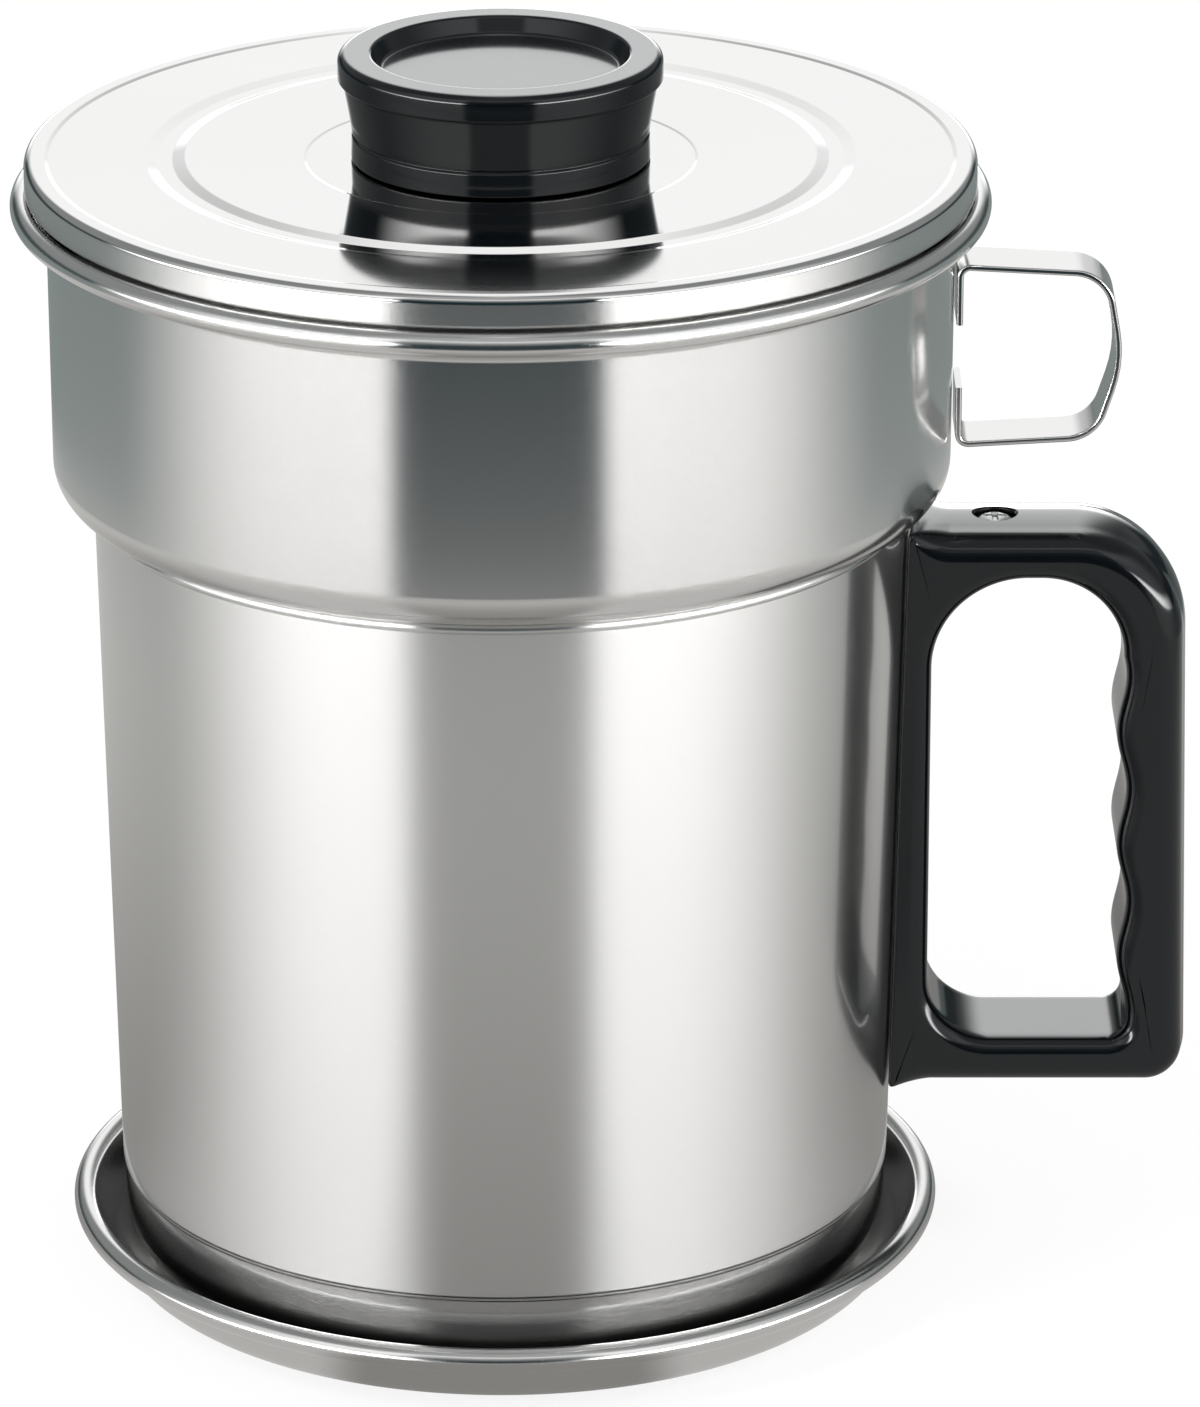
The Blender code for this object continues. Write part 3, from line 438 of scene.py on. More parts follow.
def polished_steel(name="polished_steel", roughness=None, tone_gain=1.0, satin_below=None, painted_shade_within=None):
    """Polished sheet: faint turned lines, faint wipe marks in the roughness, nearly mirror bright; below a
    height where the sheet has a grained skirt, the grain's roughness instead; and painted shade, a darker colour, on
    level faces within a radius, where a dish has one."""
    look = bpy.context.scene.pot_steel
    base = look.polished_roughness if roughness is None else roughness
    tone, skirt_blur, painted_shade_blur, bump_share, bump_height = look.colour, 0.2 * MM, 1.2 * MM, 0.06, 0.01 * MM
    dim_gain, bright_gain, line_rough, smear_rough = 0.99 * tone_gain, 1.03 * tone_gain, 0.02, 0.03
    side_facing, level_facing = -0.1, 0.15

    def recipe(shader):
        x, y, z = shader.place()
        radius = shader.reach(x, y)
        lines = shader.noise(radius * POLISH_LINES, z * POLISH_LINES, 0.0, 3.0)
        smear = shader.noise(x * POLISH_SMEAR, y * POLISH_SMEAR, z * POLISH_SMEAR, 3.0)
        colour = shader.blend(smear, rgba(tone, dim_gain), rgba(tone, bright_gain))
        if painted_shade_within is not None:
            # Painted shade: level faces inside the radius take a darker colour, standing in for the shade inside the
            # dish.
            level = shader.ease(shader.upward(), side_facing, level_facing)
            inner = level * shader.ease(radius, painted_shade_within - painted_shade_blur, painted_shade_within, *FALL)
            colour = shader.blend(inner, colour, rgba(tone, look.heel_painted_shade))
        rough = base - line_rough + lines * line_rough + smear * smear_rough
        if satin_below is not None:
            rough = rough + shader.ease(z, satin_below - skirt_blur, satin_below + skirt_blur, look.cup_roughness, 0.0)
        return {"Base Color": colour, "Roughness": rough, "Normal": shader.bump(lines, bump_share, bump_height)}

    grain = look.anisotropy if satin_below is not None else 0.0
    return finish_named(name, recipe, Metallic=1.0, Anisotropic=grain, Anisotropic_Rotation=GRAIN_TURN)


def glossy_moulding():
    """Black moulded phenolic: glossy, with a very low, wide ripple from the mould and faint dulling, and a
    stronger mirror on level tops."""
    look = bpy.context.scene.pot_moulding
    pale_gain, dull_from, dull_span, slope_facing, level_facing = 1.35, 0.02, 0.05, 0.90, 0.995
    index, coat_roughness, bump_share, bump_height = 1.48, 0.12, 0.06, 0.10 * MM

    def recipe(shader):
        x, y, z = shader.place()
        ripple = shader.noise(x * MOULD_RIPPLE, y * MOULD_RIPPLE, z * MOULD_RIPPLE)
        dull = shader.noise(x * MOULD_DULL, y * MOULD_DULL, z * MOULD_DULL, 3.0)
        return {"Base Color": shader.blend(dull, rgba(look.colour), rgba(look.colour, pale_gain)),
                "Roughness": look.roughness - dull_from + dull * dull_span,
                "Coat Weight": shader.ease(shader.upward(), slope_facing, level_facing),
                "Normal": shader.bump(ripple, bump_share, bump_height)}

    return finish_named("glossy_moulding", recipe, IOR=index, Coat_IOR=look.top_shine,
                        Coat_Roughness=coat_roughness)


def plated(name="plated_steel", colour=(0.62, 0.62, 0.62), roughness=0.22):
    """Plated or turned small metal: fine turned lines and a little cloudiness."""
    dim_gain, bright_gain, line_rough, bump_share, bump_height = 0.9, 1.08, 0.08, 0.15, 0.02 * MM

    def recipe(shader):
        x, y, z = shader.place()
        lines = shader.noise(x * PLATE_ALONG, y * PLATE_ALONG, z * PLATE_ACROSS)
        cloud = shader.noise(x * PLATE_CLOUD, y * PLATE_CLOUD, z * PLATE_CLOUD)
        return {"Base Color": shader.blend(cloud, rgba(colour, dim_gain), rgba(colour, bright_gain)),
                "Roughness": roughness - line_rough / 2 + lines * line_rough,
                "Normal": shader.bump(lines, bump_share, bump_height)}

    return finish_named(name, recipe, Metallic=1.0)


# Settings

def size(name, millimetres, description):
    """A length setting, given in millimetres."""
    return FloatProperty(name=name, description=description, default=millimetres * MM, min=0.0, precision=5,
                         unit="LENGTH")


def share(name, default, description):
    """A number from 0 to 1."""
    return FloatProperty(name=name, description=description, default=default, min=0.0, max=1.0, subtype="FACTOR")


def colour(name, default, description):
    """A colour setting."""
    return FloatVectorProperty(name=name, description=description, default=default, size=3, min=0.0, max=1.0,
                               subtype="COLOR")


class PotSteel(bpy.types.PropertyGroup):
    """Finish of the steel sheet."""

    colour: colour("Steel", (0.74, 0.735, 0.725), "Colour of the stainless sheet")
    pot_roughness: share("Pot roughness", 0.29, "Roughness of the pot's grained wall")
    cup_roughness: share("Cup roughness", 0.18, "Roughness of the cup's grained wall")
    heel_roughness: share("Heel roughness", 0.17, "Roughness of the pot's heel and the tray")
    # Painted shade: a darker colour on the pot's heel and the tray's inside, standing in for the shade there.
    heel_painted_shade: share("Heel tone", 0.62, "How bright the pot's heel and the tray's inside are beside the other sheet")
    sheen: FloatProperty(name="Sheen", description="How strongly the tops of the grain mirror", default=3.0, min=1.0,
                         max=4.0)
    sheen_roughness: share("Sheen roughness", 0.10, "Roughness of the tops of the grain")
    polished_roughness: share("Polished roughness", 0.06, "Roughness of the lid, the tray and the heel")
    anisotropy: share("Grain stretch", 0.90, "How far the grain draws reflections out in height")


class PotMoulding(bpy.types.PropertyGroup):
    """Finish of the black mouldings."""

    colour: colour("Moulding", (0.0022, 0.0031, 0.0040), "Colour of the knob and the pot handle")
    roughness: share("Gloss", 0.10, "Roughness of the mouldings")
    top_shine: FloatProperty(name="Top shine", description="How strongly the level tops mirror", default=2.8, min=1.0,
                             max=4.0)


class PotShapes(bpy.types.PropertyGroup):
    """Sizes of the surfaces that the frame's corner boxes don't give."""

    sheet: size("Sheet", 0.5, "Thickness of the pot, cup and lid sheet")
    tray_sheet: size("Tray sheet", 0.6, "Thickness of the tray's sheet")
    heel_height: size("Heel height", 15.8, "Height of the polished heel above the pot's base")
    heel_radius: size("Heel corner", 10.0, "Radius of the pot's heel")
    groove_radius: size("Groove radius", 51.8, "Mean radius of the groove pressed in the lid")
    groove_width: size("Groove width", 6.4, "Width of the groove pressed in the lid")
    groove_depth: size("Groove depth", 0.5, "Depth of the groove pressed in the lid")
    lid_sink: size("Lid sink", 1.0, "How far the lid's middle lies below the band round its edge")
    finger_pitch: size("Finger pitch", 19.0, "Distance between two finger hollows")
    finger_depth: size("Finger depth", 1.5, "Depth of the finger hollows")
    strap_width: size("Strap width", 10.2, "Width of the cup's strap handle")
    net_pitch: size("Net pitch", 2.2, "Distance between two wires of the strainer net")
    net_wire: size("Net wire", 0.42, "Thickness of the net's wire")


class PotStudio(bpy.types.PropertyGroup):
    """Camera and studio."""

    distance: size("Camera distance", 1343.5, "From the camera to the point that it looks at")
    elevation: FloatProperty(name="Elevation", description="Camera angle above the horizon",
                             default=math.radians(20.66), subtype="ANGLE")
    aim: FloatVectorProperty(name="Aim", description="Point that the camera looks at", size=3,
                             default=(15.3 * MM, 0.0, 92.55 * MM), subtype="TRANSLATION")
    lens: FloatProperty(name="Lens", description="Focal length in millimetres on a 36 mm sensor",
                        default=SENSOR_WIDTH * FOCAL_PIXELS / IMAGE_HEIGHT, subtype="DISTANCE_CAMERA")
    floor_radius: size("Floor radius", 6000.0, "Radius of the pale floor")
    lamp_strength: FloatProperty(name="Lamp", description="Power of each soft lamp", default=9.0, unit="POWER")


# Pieces

class POT_OT_tray(bpy.types.Operator):
    """Shallow polished tray with a rolled rim"""

    bl_idname = "strainer_pot.tray"
    bl_label = "Drip tray"

    def execute(self, context):
        t = context.scene.pot_shapes.tray_sheet
        rim, crest = radius_of("drip_tray"), top_of("drip_tray")
        curl, bend, painted_shade_margin = 1.9 * MM, 6.0 * MM, 2.5 * MM
        wall, curl_end = math.radians(67), math.radians(-120)
        roll = arc((rim - curl, crest - curl), curl - t / 2, wall + math.pi / 2, curl_end)
        corner = roll[0, 0] - (roll[0, 1] - t / 2) / math.tan(wall)
        flat = rounded_path([(0, t / 2), (corner, t / 2, bend), tuple(roll[0])])
        middle = clean(np.vstack([flat, roll[1:]]))
        profile = sheet_profile(middle, t)
        profile[[0, -1], 0] = 0
        tray = turned("tray_surface", "tray_tier", profile, "drip_tray")
        # The tray's inside floor carries painted shade: a darker colour within the rim.
        finish = polished_steel("tray_steel", context.scene.pot_steel.heel_roughness, painted_shade_within=rim - painted_shade_margin)
        wear(finish, tray)
        return {"FINISHED"}


def pot_wall(z):
    """Outer radius of the pot's wall at a height: a straight taper from the heel to the mouth."""
    foot, top = foot_of("pot_body"), top_of("pot_body")
    low = foot + WALL_START
    return WALL_FOOT_RADIUS + (MOUTH_RADIUS - WALL_FOOT_RADIUS) * (z - low) / (top - low)


class POT_OT_pot(bpy.types.Operator):
    """Tall drawn pot: flat base, polished heel, a fine step, a grained wall and a hemmed mouth"""

    bl_idname = "strainer_pot.pot"
    bl_label = "Pot"

    def execute(self, context):
        shapes = context.scene.pot_shapes
        t, foot, top = shapes.sheet, foot_of("pot_body"), top_of("pot_body")
        heel, line_z, hem = 61.0 * MM, foot + shapes.heel_height, 0.9 * MM
        polish_and_shade_end = line_z + 0.5 * MM
        # The fine step line above the heel, in millimetres: out, up and the bend's radius
        step_line = ((0.0, 0.0, 0.3), (0.10, 0.25, 0.2), (0.06, 0.55, 0.2), (0.4, 0.95, 0.5))
        profile = rounded_path([
            (0, foot),
            (heel, foot, shapes.heel_radius),
            *[(heel + out * MM, line_z + up * MM, bend * MM) for out, up, bend in step_line],
            (MOUTH_RADIUS, top - 2 * hem)])
        roll = arc((MOUTH_RADIUS, top - hem), hem, -math.pi / 2, math.pi / 2)
        inner = rounded_path([
            (MOUTH_RADIUS - t, top, 0),
            (MOUTH_RADIUS - t, top - 2 * hem, 0),
            (heel - t, line_z + t, 0),
            (heel - t, foot + t, shapes.heel_radius - t),
            (0, foot + t)])
        pot = turned("pot_surface", "pot_tier", np.vstack([profile[:-1], roll, inner[1:]]), "pot_body")
        # The heel below the step line is polished and carries painted shade, a darker colour.
        finish = satin_steel("pot_steel", context.scene.pot_steel.pot_roughness, polish_and_shade_end)
        wear(finish, pot)
        return {"FINISHED"}


class POT_OT_cup(bpy.types.Operator):
    """Wide cup: ledge and neck, rounded shoulder, grained wall, flare and rolled rim"""

    bl_idname = "strainer_pot.cup"
    bl_label = "Strainer cup"

    def execute(self, context):
        t = context.scene.pot_shapes.sheet
        seat = top_of("pot_body") + CLEARANCE
        crest, rim = top_of("strainer_cup"), radius_of("strainer_cup")
        curl, flare, curl_end = 1.9 * MM, math.radians(60), math.radians(-150)
        ledge, neck, shoulder, wall = 57.8 * MM, 62.4 * MM - t / 2, 70.0 * MM - t / 2, 70.3 * MM - t / 2
        neck_bend, seat_bend, shoulder_bend, flare_bend = 1.4 * MM, 0.6 * MM, 5.75 * MM - t / 2, 2.0 * MM
        foot = foot_of("strainer_cup") + t / 2
        roll = arc((rim - curl, crest - curl), curl - t / 2, flare + math.pi / 2, curl_end)
        flare_z = roll[0, 1] - (roll[0, 0] - wall) * math.tan(flare)
        run = rounded_path([
            (ledge, foot),
            (neck, foot, neck_bend),
            (neck, seat + t / 2, seat_bend),
            (shoulder, seat + t / 2, shoulder_bend),
            (wall, flare_z, flare_bend),
            tuple(roll[0])])
        middle = clean(np.vstack([run, roll[1:]]))
        cup = turned("cup_surface", "cup_tier", sheet_profile(middle, t), "strainer_cup")
        wear(satin_steel("cup_steel", context.scene.pot_steel.cup_roughness), cup)
        return {"FINISHED"}


class POT_OT_net(bpy.types.Operator):
    """Woven strainer net and the flat ring that clamps it on the ledge"""

    bl_idname = "strainer_pot.net"
    bl_label = "Strainer net"

    def execute(self, context):
        shapes = context.scene.pot_shapes
        low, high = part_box("strainer_net")
        reach, middle = high.x, (low.z + high.z) / 2
        pitch, wire, roughness, tone_gain = shapes.net_pitch, shapes.net_wire, 0.2, 0.85
        points, faces = self.weave(reach, middle, pitch, wire)
        net = mesh_object("net_weave", "cup_tier", points, faces, "strainer_net", WIRE_SMOOTH_ANGLE)
        wear(polished_steel("net_steel", roughness, tone_gain), net)
        low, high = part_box("net_ring")
        edge, inner, seam = 0.25 * MM, high.x - 2.8 * MM, high.x - 1.0 * MM
        outline = rounded_box(inner, high.x, low.z, high.z, edge, seam)
        ring = turned("net_ring_surface", "cup_tier", outline, "net_ring")
        wear(polished_steel(), ring)
        return {"FINISHED"}

    def weave(self, reach, middle, pitch, wire):
        """Wires both ways: the wire at offset v runs along s with height a cos(pi s / pitch) that alternates
        from wire to wire, so each passes over and under its neighbours; each is a four-sided tube."""
        count = int((reach - wire) // pitch)
        offsets = pitch * np.arange(-count, count + 1)
        steps = 4 * count + 9  # four to a pitch on the longest wire
        half = np.sqrt(np.maximum(reach ** 2 - offsets ** 2, 0)) - wire
        s = half[:, None] * np.linspace(-1, 1, steps)[None]
        parity = np.where(np.arange(-count, count + 1) % 2 == 0, 1.0, -1.0)
        wave = 0.5 * wire * np.cos(math.pi * s / pitch) * parity[:, None]
        corner = math.pi / 4 + math.pi / 2 * np.arange(4)
        side, rise = wire / 2 * np.cos(corner), wire / 2 * np.sin(corner)
        across = offsets[:, None, None] + side
        height = middle + wave[:, :, None] + rise
        along = s[:, :, None] + 0 * side
        one = np.stack([along, across + 0 * along, height], axis=-1)
        other = np.stack([across + 0 * along, along, 2 * middle - height], axis=-1)
        wires = np.concatenate([one, other]).reshape(-1, steps * 4, 3)
        tube = grid_faces(steps, 4, False, True)
        start = steps * 4 * np.arange(len(wires))[:, None, None]
        caps = np.array([[3, 2, 1, 0], [steps * 4 - 4, steps * 4 - 3, steps * 4 - 2, steps * 4 - 1]])
        faces = (np.vstack([tube, caps])[None] + start).reshape(-1, 4)
        return wires.reshape(-1, 3), faces.tolist()


def swept_strip(path, width, thickness, edge):
    """A flat strip's rounded section carried along a path (x, z): the section's height is laid along the
    path's normal and its width along Y.  Gives points and faces, with both ends closed."""
    section = rounded_box(-width / 2, width / 2, -thickness / 2, thickness / 2, edge, 0)
    side = normals_of(path, False)
    x = path[:, :1] + side[:, :1] * section[:, 1]
    z = path[:, 1:] + side[:, 1:] * section[:, 1]
    y = 0 * x + section[:, 0]
    return np.stack([x, y, z], axis=-1).reshape(-1, 3), tube_faces(len(path), len(section))


class POT_OT_strap(bpy.types.Operator):
    """Steel strip bent to a loop, with its ends welded to the cup's wall"""

    bl_idname = "strainer_pot.strap"
    bl_label = "Strap handle"

    def execute(self, context):
        t, edge, splay, tab = 1.0 * MM, 0.35 * MM, 1.2 * MM, 9.4 * MM
        tab_bend, corner_bend, bow_bend = 1.6 * MM, 6.2 * MM, 20.0 * MM
        upper_share, lower_share, bow_share, roughness = 0.90, 0.84, 0.47, 0.12
        low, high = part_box("cup_strap_handle")
        wall, far, top, foot = low.x + t / 2, high.x - t / 2, high.z - t / 2, low.z + t / 2
        reach = far - wall
        path = rounded_path([
            (wall, top - tab),
            (wall, top, tab_bend),
            (wall + upper_share * reach, top - splay, corner_bend),
            (far, foot + bow_share * (top - foot), bow_bend),
            (wall + lower_share * reach, foot + splay, corner_bend),
            (wall, foot, tab_bend),
            (wall, foot + tab)])
        points, faces = swept_strip(path, context.scene.pot_shapes.strap_width, t, edge)
        strap = mesh_object("strap_surface", "cup_tier", points, faces, "cup_strap_handle")
        wear(polished_steel("strap_steel", roughness), strap)
        return {"FINISHED"}


class POT_OT_lid(bpy.types.Operator):
    """Pressed lid: sunk panel with a groove, a faint step and an edge band, skirt, hem and inner collar"""

    bl_idname = "strainer_pot.lid"
    bl_label = "Lid"

    def execute(self, context):
        shapes = context.scene.pot_shapes
        t = shapes.sheet
        foot, flat = top_of("strainer_cup") + CLEARANCE, foot_of("lid_knob") - CLEARANCE - t / 2
        edge, groove, half = radius_of("lid_shell") - t / 2, shapes.groove_radius, shapes.groove_width / 2
        hole, boss, boss_step, boss_rise = 2.3 * MM, 30.0 * MM, 30.5 * MM, 0.15 * MM
        band, panel_end, band_start = flat + shapes.lid_sink, 69.75 * MM, 70.45 * MM
        panel = band - 0.25 * MM
        floor, floor_share, roughness, tone_gain = panel - shapes.groove_depth, 0.35, 0.05, 1.04
        collar, collar_drop, hem, satin_drop = 69.4 * MM - t / 2, 3.6 * MM, foot + t / 2, 1.0 * MM
        boss_bend, groove_bend, step_bend, edge_bend, hem_bend = 0.5 * MM, 1.2 * MM, 0.4 * MM, 1.05 * MM, 0.45 * MM
        middle = rounded_path([
            (hole, flat),
            (boss, flat, boss_bend),
            (boss_step, flat + boss_rise, boss_bend),
            (groove - half, panel, groove_bend),
            (groove - floor_share * half, floor, groove_bend),
            (groove + floor_share * half, floor, groove_bend),
            (groove + half, panel, groove_bend),
            (panel_end, panel, step_bend),
            (band_start, band, step_bend),
            (edge, band, edge_bend),
            (edge, hem, hem_bend),
            (collar, hem, hem_bend),
            (collar, hem - collar_drop)])
        lid = turned("lid_surface", "lid_tier", sheet_profile(clean(middle), t), "lid_shell")
        finish = polished_steel("lid_steel", roughness, tone_gain, band - satin_drop)
        wear(finish, lid)
        return {"FINISHED"}


class POT_OT_knob(bpy.types.Operator):
    """Moulded knob with a dished top, and the metal pieces that fix it"""

    bl_idname = "strainer_pot.knob"
    bl_label = "Knob"

    def execute(self, context):
        low, high, rim = foot_of("lid_knob"), top_of("lid_knob"), radius_of("lid_knob")
        neck, neck_out, neck_power = 23.0 * MM, 1.35 * MM, 1.15
        collar, ledge, dish = low + 3.6 * MM, high - 4.0 * MM, high - 2.7 * MM
        neck_low, neck_high, neck_steps = collar + 0.75 * MM, ledge - 0.35 * MM, 17
        bend = np.linspace(0, 1, neck_steps)
        waist = np.column_stack([neck + neck_out * bend ** neck_power, neck_low + (neck_high - neck_low) * bend])
        dish_foot, dish_mouth, rim_bend, dish_bend, lip_bend = 18.5 * MM, 20.0 * MM, 1.4 * MM, 0.8 * MM, 0.7 * MM
        ledge_bend, ledge_drop, line_bend = 0.35 * MM, 0.3 * MM, 0.15 * MM
        head = rounded_path([
            (0, dish),
            (dish_foot, dish, dish_bend),
            (dish_mouth, high, lip_bend),
            (rim, high, rim_bend),
            (rim, ledge, ledge_bend),
            (waist[-1, 0], ledge - ledge_drop, line_bend),
            tuple(waist[-1])])
        line, line_drop, collar_foot, collar_bend, foot_bend = 22.65 * MM, 0.4 * MM, 23.1 * MM, 0.3 * MM, 0.2 * MM
        hollow_out, hollow_in, hollow_depth, bore, bore_depth = 20.1 * MM, 6.8 * MM, 1.2 * MM, 3.4 * MM, 8.8 * MM
        tail = rounded_path([
            tuple(waist[0]),
            (line, collar + line_drop, line_bend),
            (neck, collar, collar_bend),
            (collar_foot, low, collar_bend),
            (hollow_out, low, foot_bend),
            (hollow_out, low + hollow_depth, foot_bend),
            (hollow_in, low + hollow_depth, foot_bend),
            (hollow_in, low, foot_bend),
            (bore, low, 0),
            (bore, low + bore_depth, 0),
            (0, low + bore_depth)])
        brass, brass_roughness = (0.78, 0.56, 0.25), 0.25
        profile = np.vstack([head[:-1], waist[::-1], tail[1:]])
        knob = turned("knob_surface", "lid_tier", profile, "lid_knob", KNOB_STEPS)
        wear(glossy_moulding(), knob)
        wear(plated("insert_brass", brass, brass_roughness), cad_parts["knob_insert"])
        for node in ("knob_flat_washer", "knob_spring_washer", "knob_screw"):
            wear(plated(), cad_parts[node])
        return {"FINISHED"}


def screw_head(name, body, at, seat, top, head, shank, tip, node):
    """Pan head with a crossed recess: height above the seat falls off with radius, less a smooth cross of
    given width and reach; carried round with rings from the centre out, then down the flank and shank."""
    reach_share, width_share, depth_share, dome_share, taper_share = 0.62, 0.15, 0.55, 0.35, 0.35
    cut_start, cut_span = 1.12, 0.24  # the cross's soft edge, as shares of its half width
    centre_share, ring_count, steps = 0.02, 26, 96
    angle = full_turn(steps)
    r = head * np.linspace(centre_share, 1, ring_count)[:, None]
    x, y = np.abs(r * np.cos(angle)), np.abs(r * np.sin(angle))
    dome = top - (top - seat) * dome_share * (r / head) ** 3
    reach, width = reach_share * head, width_share * head
    arm = np.minimum(np.maximum(x / reach, y / width), np.maximum(y / reach, x / width))
    cut = np.clip((cut_start - arm) / cut_span, 0, 1)
    face = dome - depth_share * (top - seat) * cut * cut * (3 - 2 * cut) * (1 - taper_share * r / reach)
    side = np.array([(head, seat), (shank, seat), (shank, tip)])
    points = np.vstack([carried_round(r, face, angle), carried_round(side[:, :1], side[:, 1:], angle)])
    faces = tube_faces(ring_count + len(side), steps)
    return mesh_object(name, body, points + np.array([*at, 0]), faces, node, SCREW_SMOOTH_ANGLE)


class POT_OT_handle(bpy.types.Operator):
    """Moulded handle with finger hollows and a screw recess, its screw and its brackets"""

    bl_idname = "strainer_pot.handle"
    bl_label = "Pot handle"

    def execute(self, context):
        shapes = context.scene.pot_shapes
        low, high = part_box("pot_handle")
        foot, top = low.z, high.z
        outer, hole = self.outlines(shapes, foot, top)
        points, faces = self.surface(outer, hole, high.y)
        handle = mesh_object("handle_surface", "pot_tier", points, faces, "pot_handle", MOULDED_SMOOTH_ANGLE)
        self.cut_recess(handle, top)
        wear(glossy_moulding(), handle)
        seat, head_height, head, shank = top - RECESS_DEPTH + CLEARANCE, 1.7 * MM, 2.8 * MM, 1.6 * MM
        screw = screw_head("handle_screw_surface", "pot_tier", (SCREW_X, 0), seat, seat + head_height, head, shank,
                           foot_of("handle_screw"), "handle_screw")
        wear(plated(), screw)
        for node in ("handle_bracket_upper", "handle_bracket_lower"):
            wear(plated(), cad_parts[node])
        return {"FINISHED"}

    def far_side(self, z, foot, top):
        """Distance of the grip's far side from the axis, leaning in towards the top."""
        reach, lean = 108.9 * MM, 1.8 * MM
        return reach - lean * (z - foot) / (top - foot)

    def finger_side(self, z, shapes, foot, top):
        """The far side's line less the grip's thickness, with a cosine wave of one finger pitch."""
        swell, grip = top - 33.8 * MM, 10.4 * MM
        wave = shapes.finger_depth / 2 * np.cos(2 * math.pi * (z - swell) / shapes.finger_pitch)
        return self.far_side(z, foot, top) - grip - wave

    def outlines(self, shapes, foot, top):
        """Outer outline and hole outline as closed loops, matched point by point by their bearing from the
        hole's middle."""
        wall_top, wall_foot = pot_wall(top) + CLEARANCE, pot_wall(foot) + CLEARANCE
        wall_bend, foot_bend, shoulder_bend = 1.0 * MM, 6.6 * MM, 18.0 * MM
        outer = rounded_path([
            (wall_top, (top + foot) / 2),
            (wall_foot, foot, wall_bend),
            (self.far_side(foot, foot, top), foot, foot_bend),
            (self.far_side(top, foot, top), top, shoulder_bend),
            (wall_top, top, wall_bend),
            (wall_top, (top + foot) / 2)], step=FINE_STEP)
        outer[0] = outer[-1] = ((wall_top + wall_foot) / 2, (top + foot) / 2)
        head, sill, near = top - 8.1 * MM, foot + 8.6 * MM, 67.3 * MM
        sill_near_bend, sill_bend, head_bend, head_near_bend = 10.0 * MM, 3.0 * MM, 13.0 * MM, 15.0 * MM
        z = np.linspace(sill + sill_bend, head - head_bend, 200)
        waves = np.column_stack([self.finger_side(z, shapes, foot, top), z])
        middle = (near, (head + sill) / 2)
        sill_run = rounded_path([
            middle, (near, sill, sill_near_bend), (waves[0, 0], sill, sill_bend), tuple(waves[0])], step=FINE_STEP)
        head_run = rounded_path([
            tuple(waves[-1]), (waves[-1, 0], head, head_bend), (near, head, head_near_bend), middle],
            step=FINE_STEP)
        hole = np.vstack([sill_run[:-1], waves, head_run[1:]])
        return self.matched(outer, hole)

    def matched(self, outer, hole):
        """Both loops at the same bearings; bearings are those of points evenly spaced along each loop."""
        middle, spacing, bearings_count = np.array([82.0 * MM, 76.5 * MM]), 0.1 * MM, 1080

        def bearings(loop):
            return np.mod(np.arctan2(loop[:, 1] - middle[1], loop[:, 0] - middle[0]), 2 * math.pi)

        def dense(loop, step):
            loop = clean(loop)
            run = np.concatenate([[0], np.cumsum(np.linalg.norm(np.diff(loop, axis=0), axis=1))])
            at = np.unique(np.concatenate([run, np.arange(0, run[-1], step)]))[:-1]
            at = at[np.concatenate([[True], np.diff(at) > SAME_PLACE])]
            return np.column_stack([np.interp(at, run, loop[:, k]) for k in (0, 1)])

        def polar(loop):
            loop = dense(loop, spacing)
            turn, away = bearings(loop), np.linalg.norm(loop - middle, axis=1)
            order = np.argsort(turn)
            turn, away = turn[order], away[order]
            turn = np.concatenate([turn[-1:] - 2 * math.pi, turn, turn[:1] + 2 * math.pi])
            return turn, np.concatenate([away[-1:], away, away[:1]])

        marks = full_turn(bearings_count)
        ray = np.column_stack([np.cos(marks), np.sin(marks)])
        return [middle + ray * np.interp(marks, *polar(loop))[:, None] for loop in (outer, hole)]

    def surface(self, outer, hole, side):
        """Section carried round the loop: outer flank, rounded edge, flat side, rounded hole edge and hole
        flank, then the same mirrored in Y.  The edge is small where the handle lies on the pot's wall, and
        points there sink with Y as the round wall does."""
        out_normal, in_normal = self.outward(outer), -self.outward(hole)
        wall = pot_wall(outer[:, 1]) + CLEARANCE
        big, small, inner, guard, rise, fade = 4.6 * MM, 0.6 * MM, 2.8 * MM, 0.25 * MM, 0.7 * MM, 6 * MM
        near = np.clip(1 - (outer[:, 0] - wall) / fade, 0, 1)
        spread = np.linspace(0, 1, 7)
        turn = np.linspace(0, math.pi / 2, 11)
        crown = rise * (1 - near)
        edge = big + (small - big) * near ** 2
        columns = []
        for share in spread[:-1]:
            columns.append((outer - out_normal * (crown * share ** 2)[:, None], share * (side - edge)))
        for t in turn:
            depth = crown + (edge - crown) * (1 - math.cos(t))
            columns.append((outer - out_normal * depth[:, None], side - edge + edge * math.sin(t)))
        columns.append((outer - out_normal * (edge + guard)[:, None], side + 0 * edge))
        columns.append((hole - in_normal * (inner + guard), side + 0 * edge))
        for t in turn[::-1]:
            flank = hole - in_normal * inner * (1 - math.cos(t))
            columns.append((flank, side - inner + inner * math.sin(t) + 0 * edge))
        for share in spread[::-1][1:]:
            columns.append((hole, share * (side - inner) + 0 * edge))
        half = [np.column_stack([spot[:, 0], y + 0 * edge, spot[:, 1]]) for spot, y in columns]
        mirror = [column * [1, -1, 1] for column in half[1:-1][::-1]]
        grid = np.stack(half + mirror, axis=1)
        radius = wall[:, None]
        sink = radius - np.sqrt(np.maximum(radius ** 2 - grid[:, :, 1] ** 2, 0))
        outer_columns = np.zeros(grid.shape[1])
        count = len(spread) + len(turn)
        outer_columns[:count] = outer_columns[1 - count:] = 1
        grid[:, :, 0] -= sink * near[:, None] * outer_columns[None]
        faces = grid_faces(grid.shape[0], grid.shape[1], True, True).tolist()
        return grid.reshape(-1, 3), faces

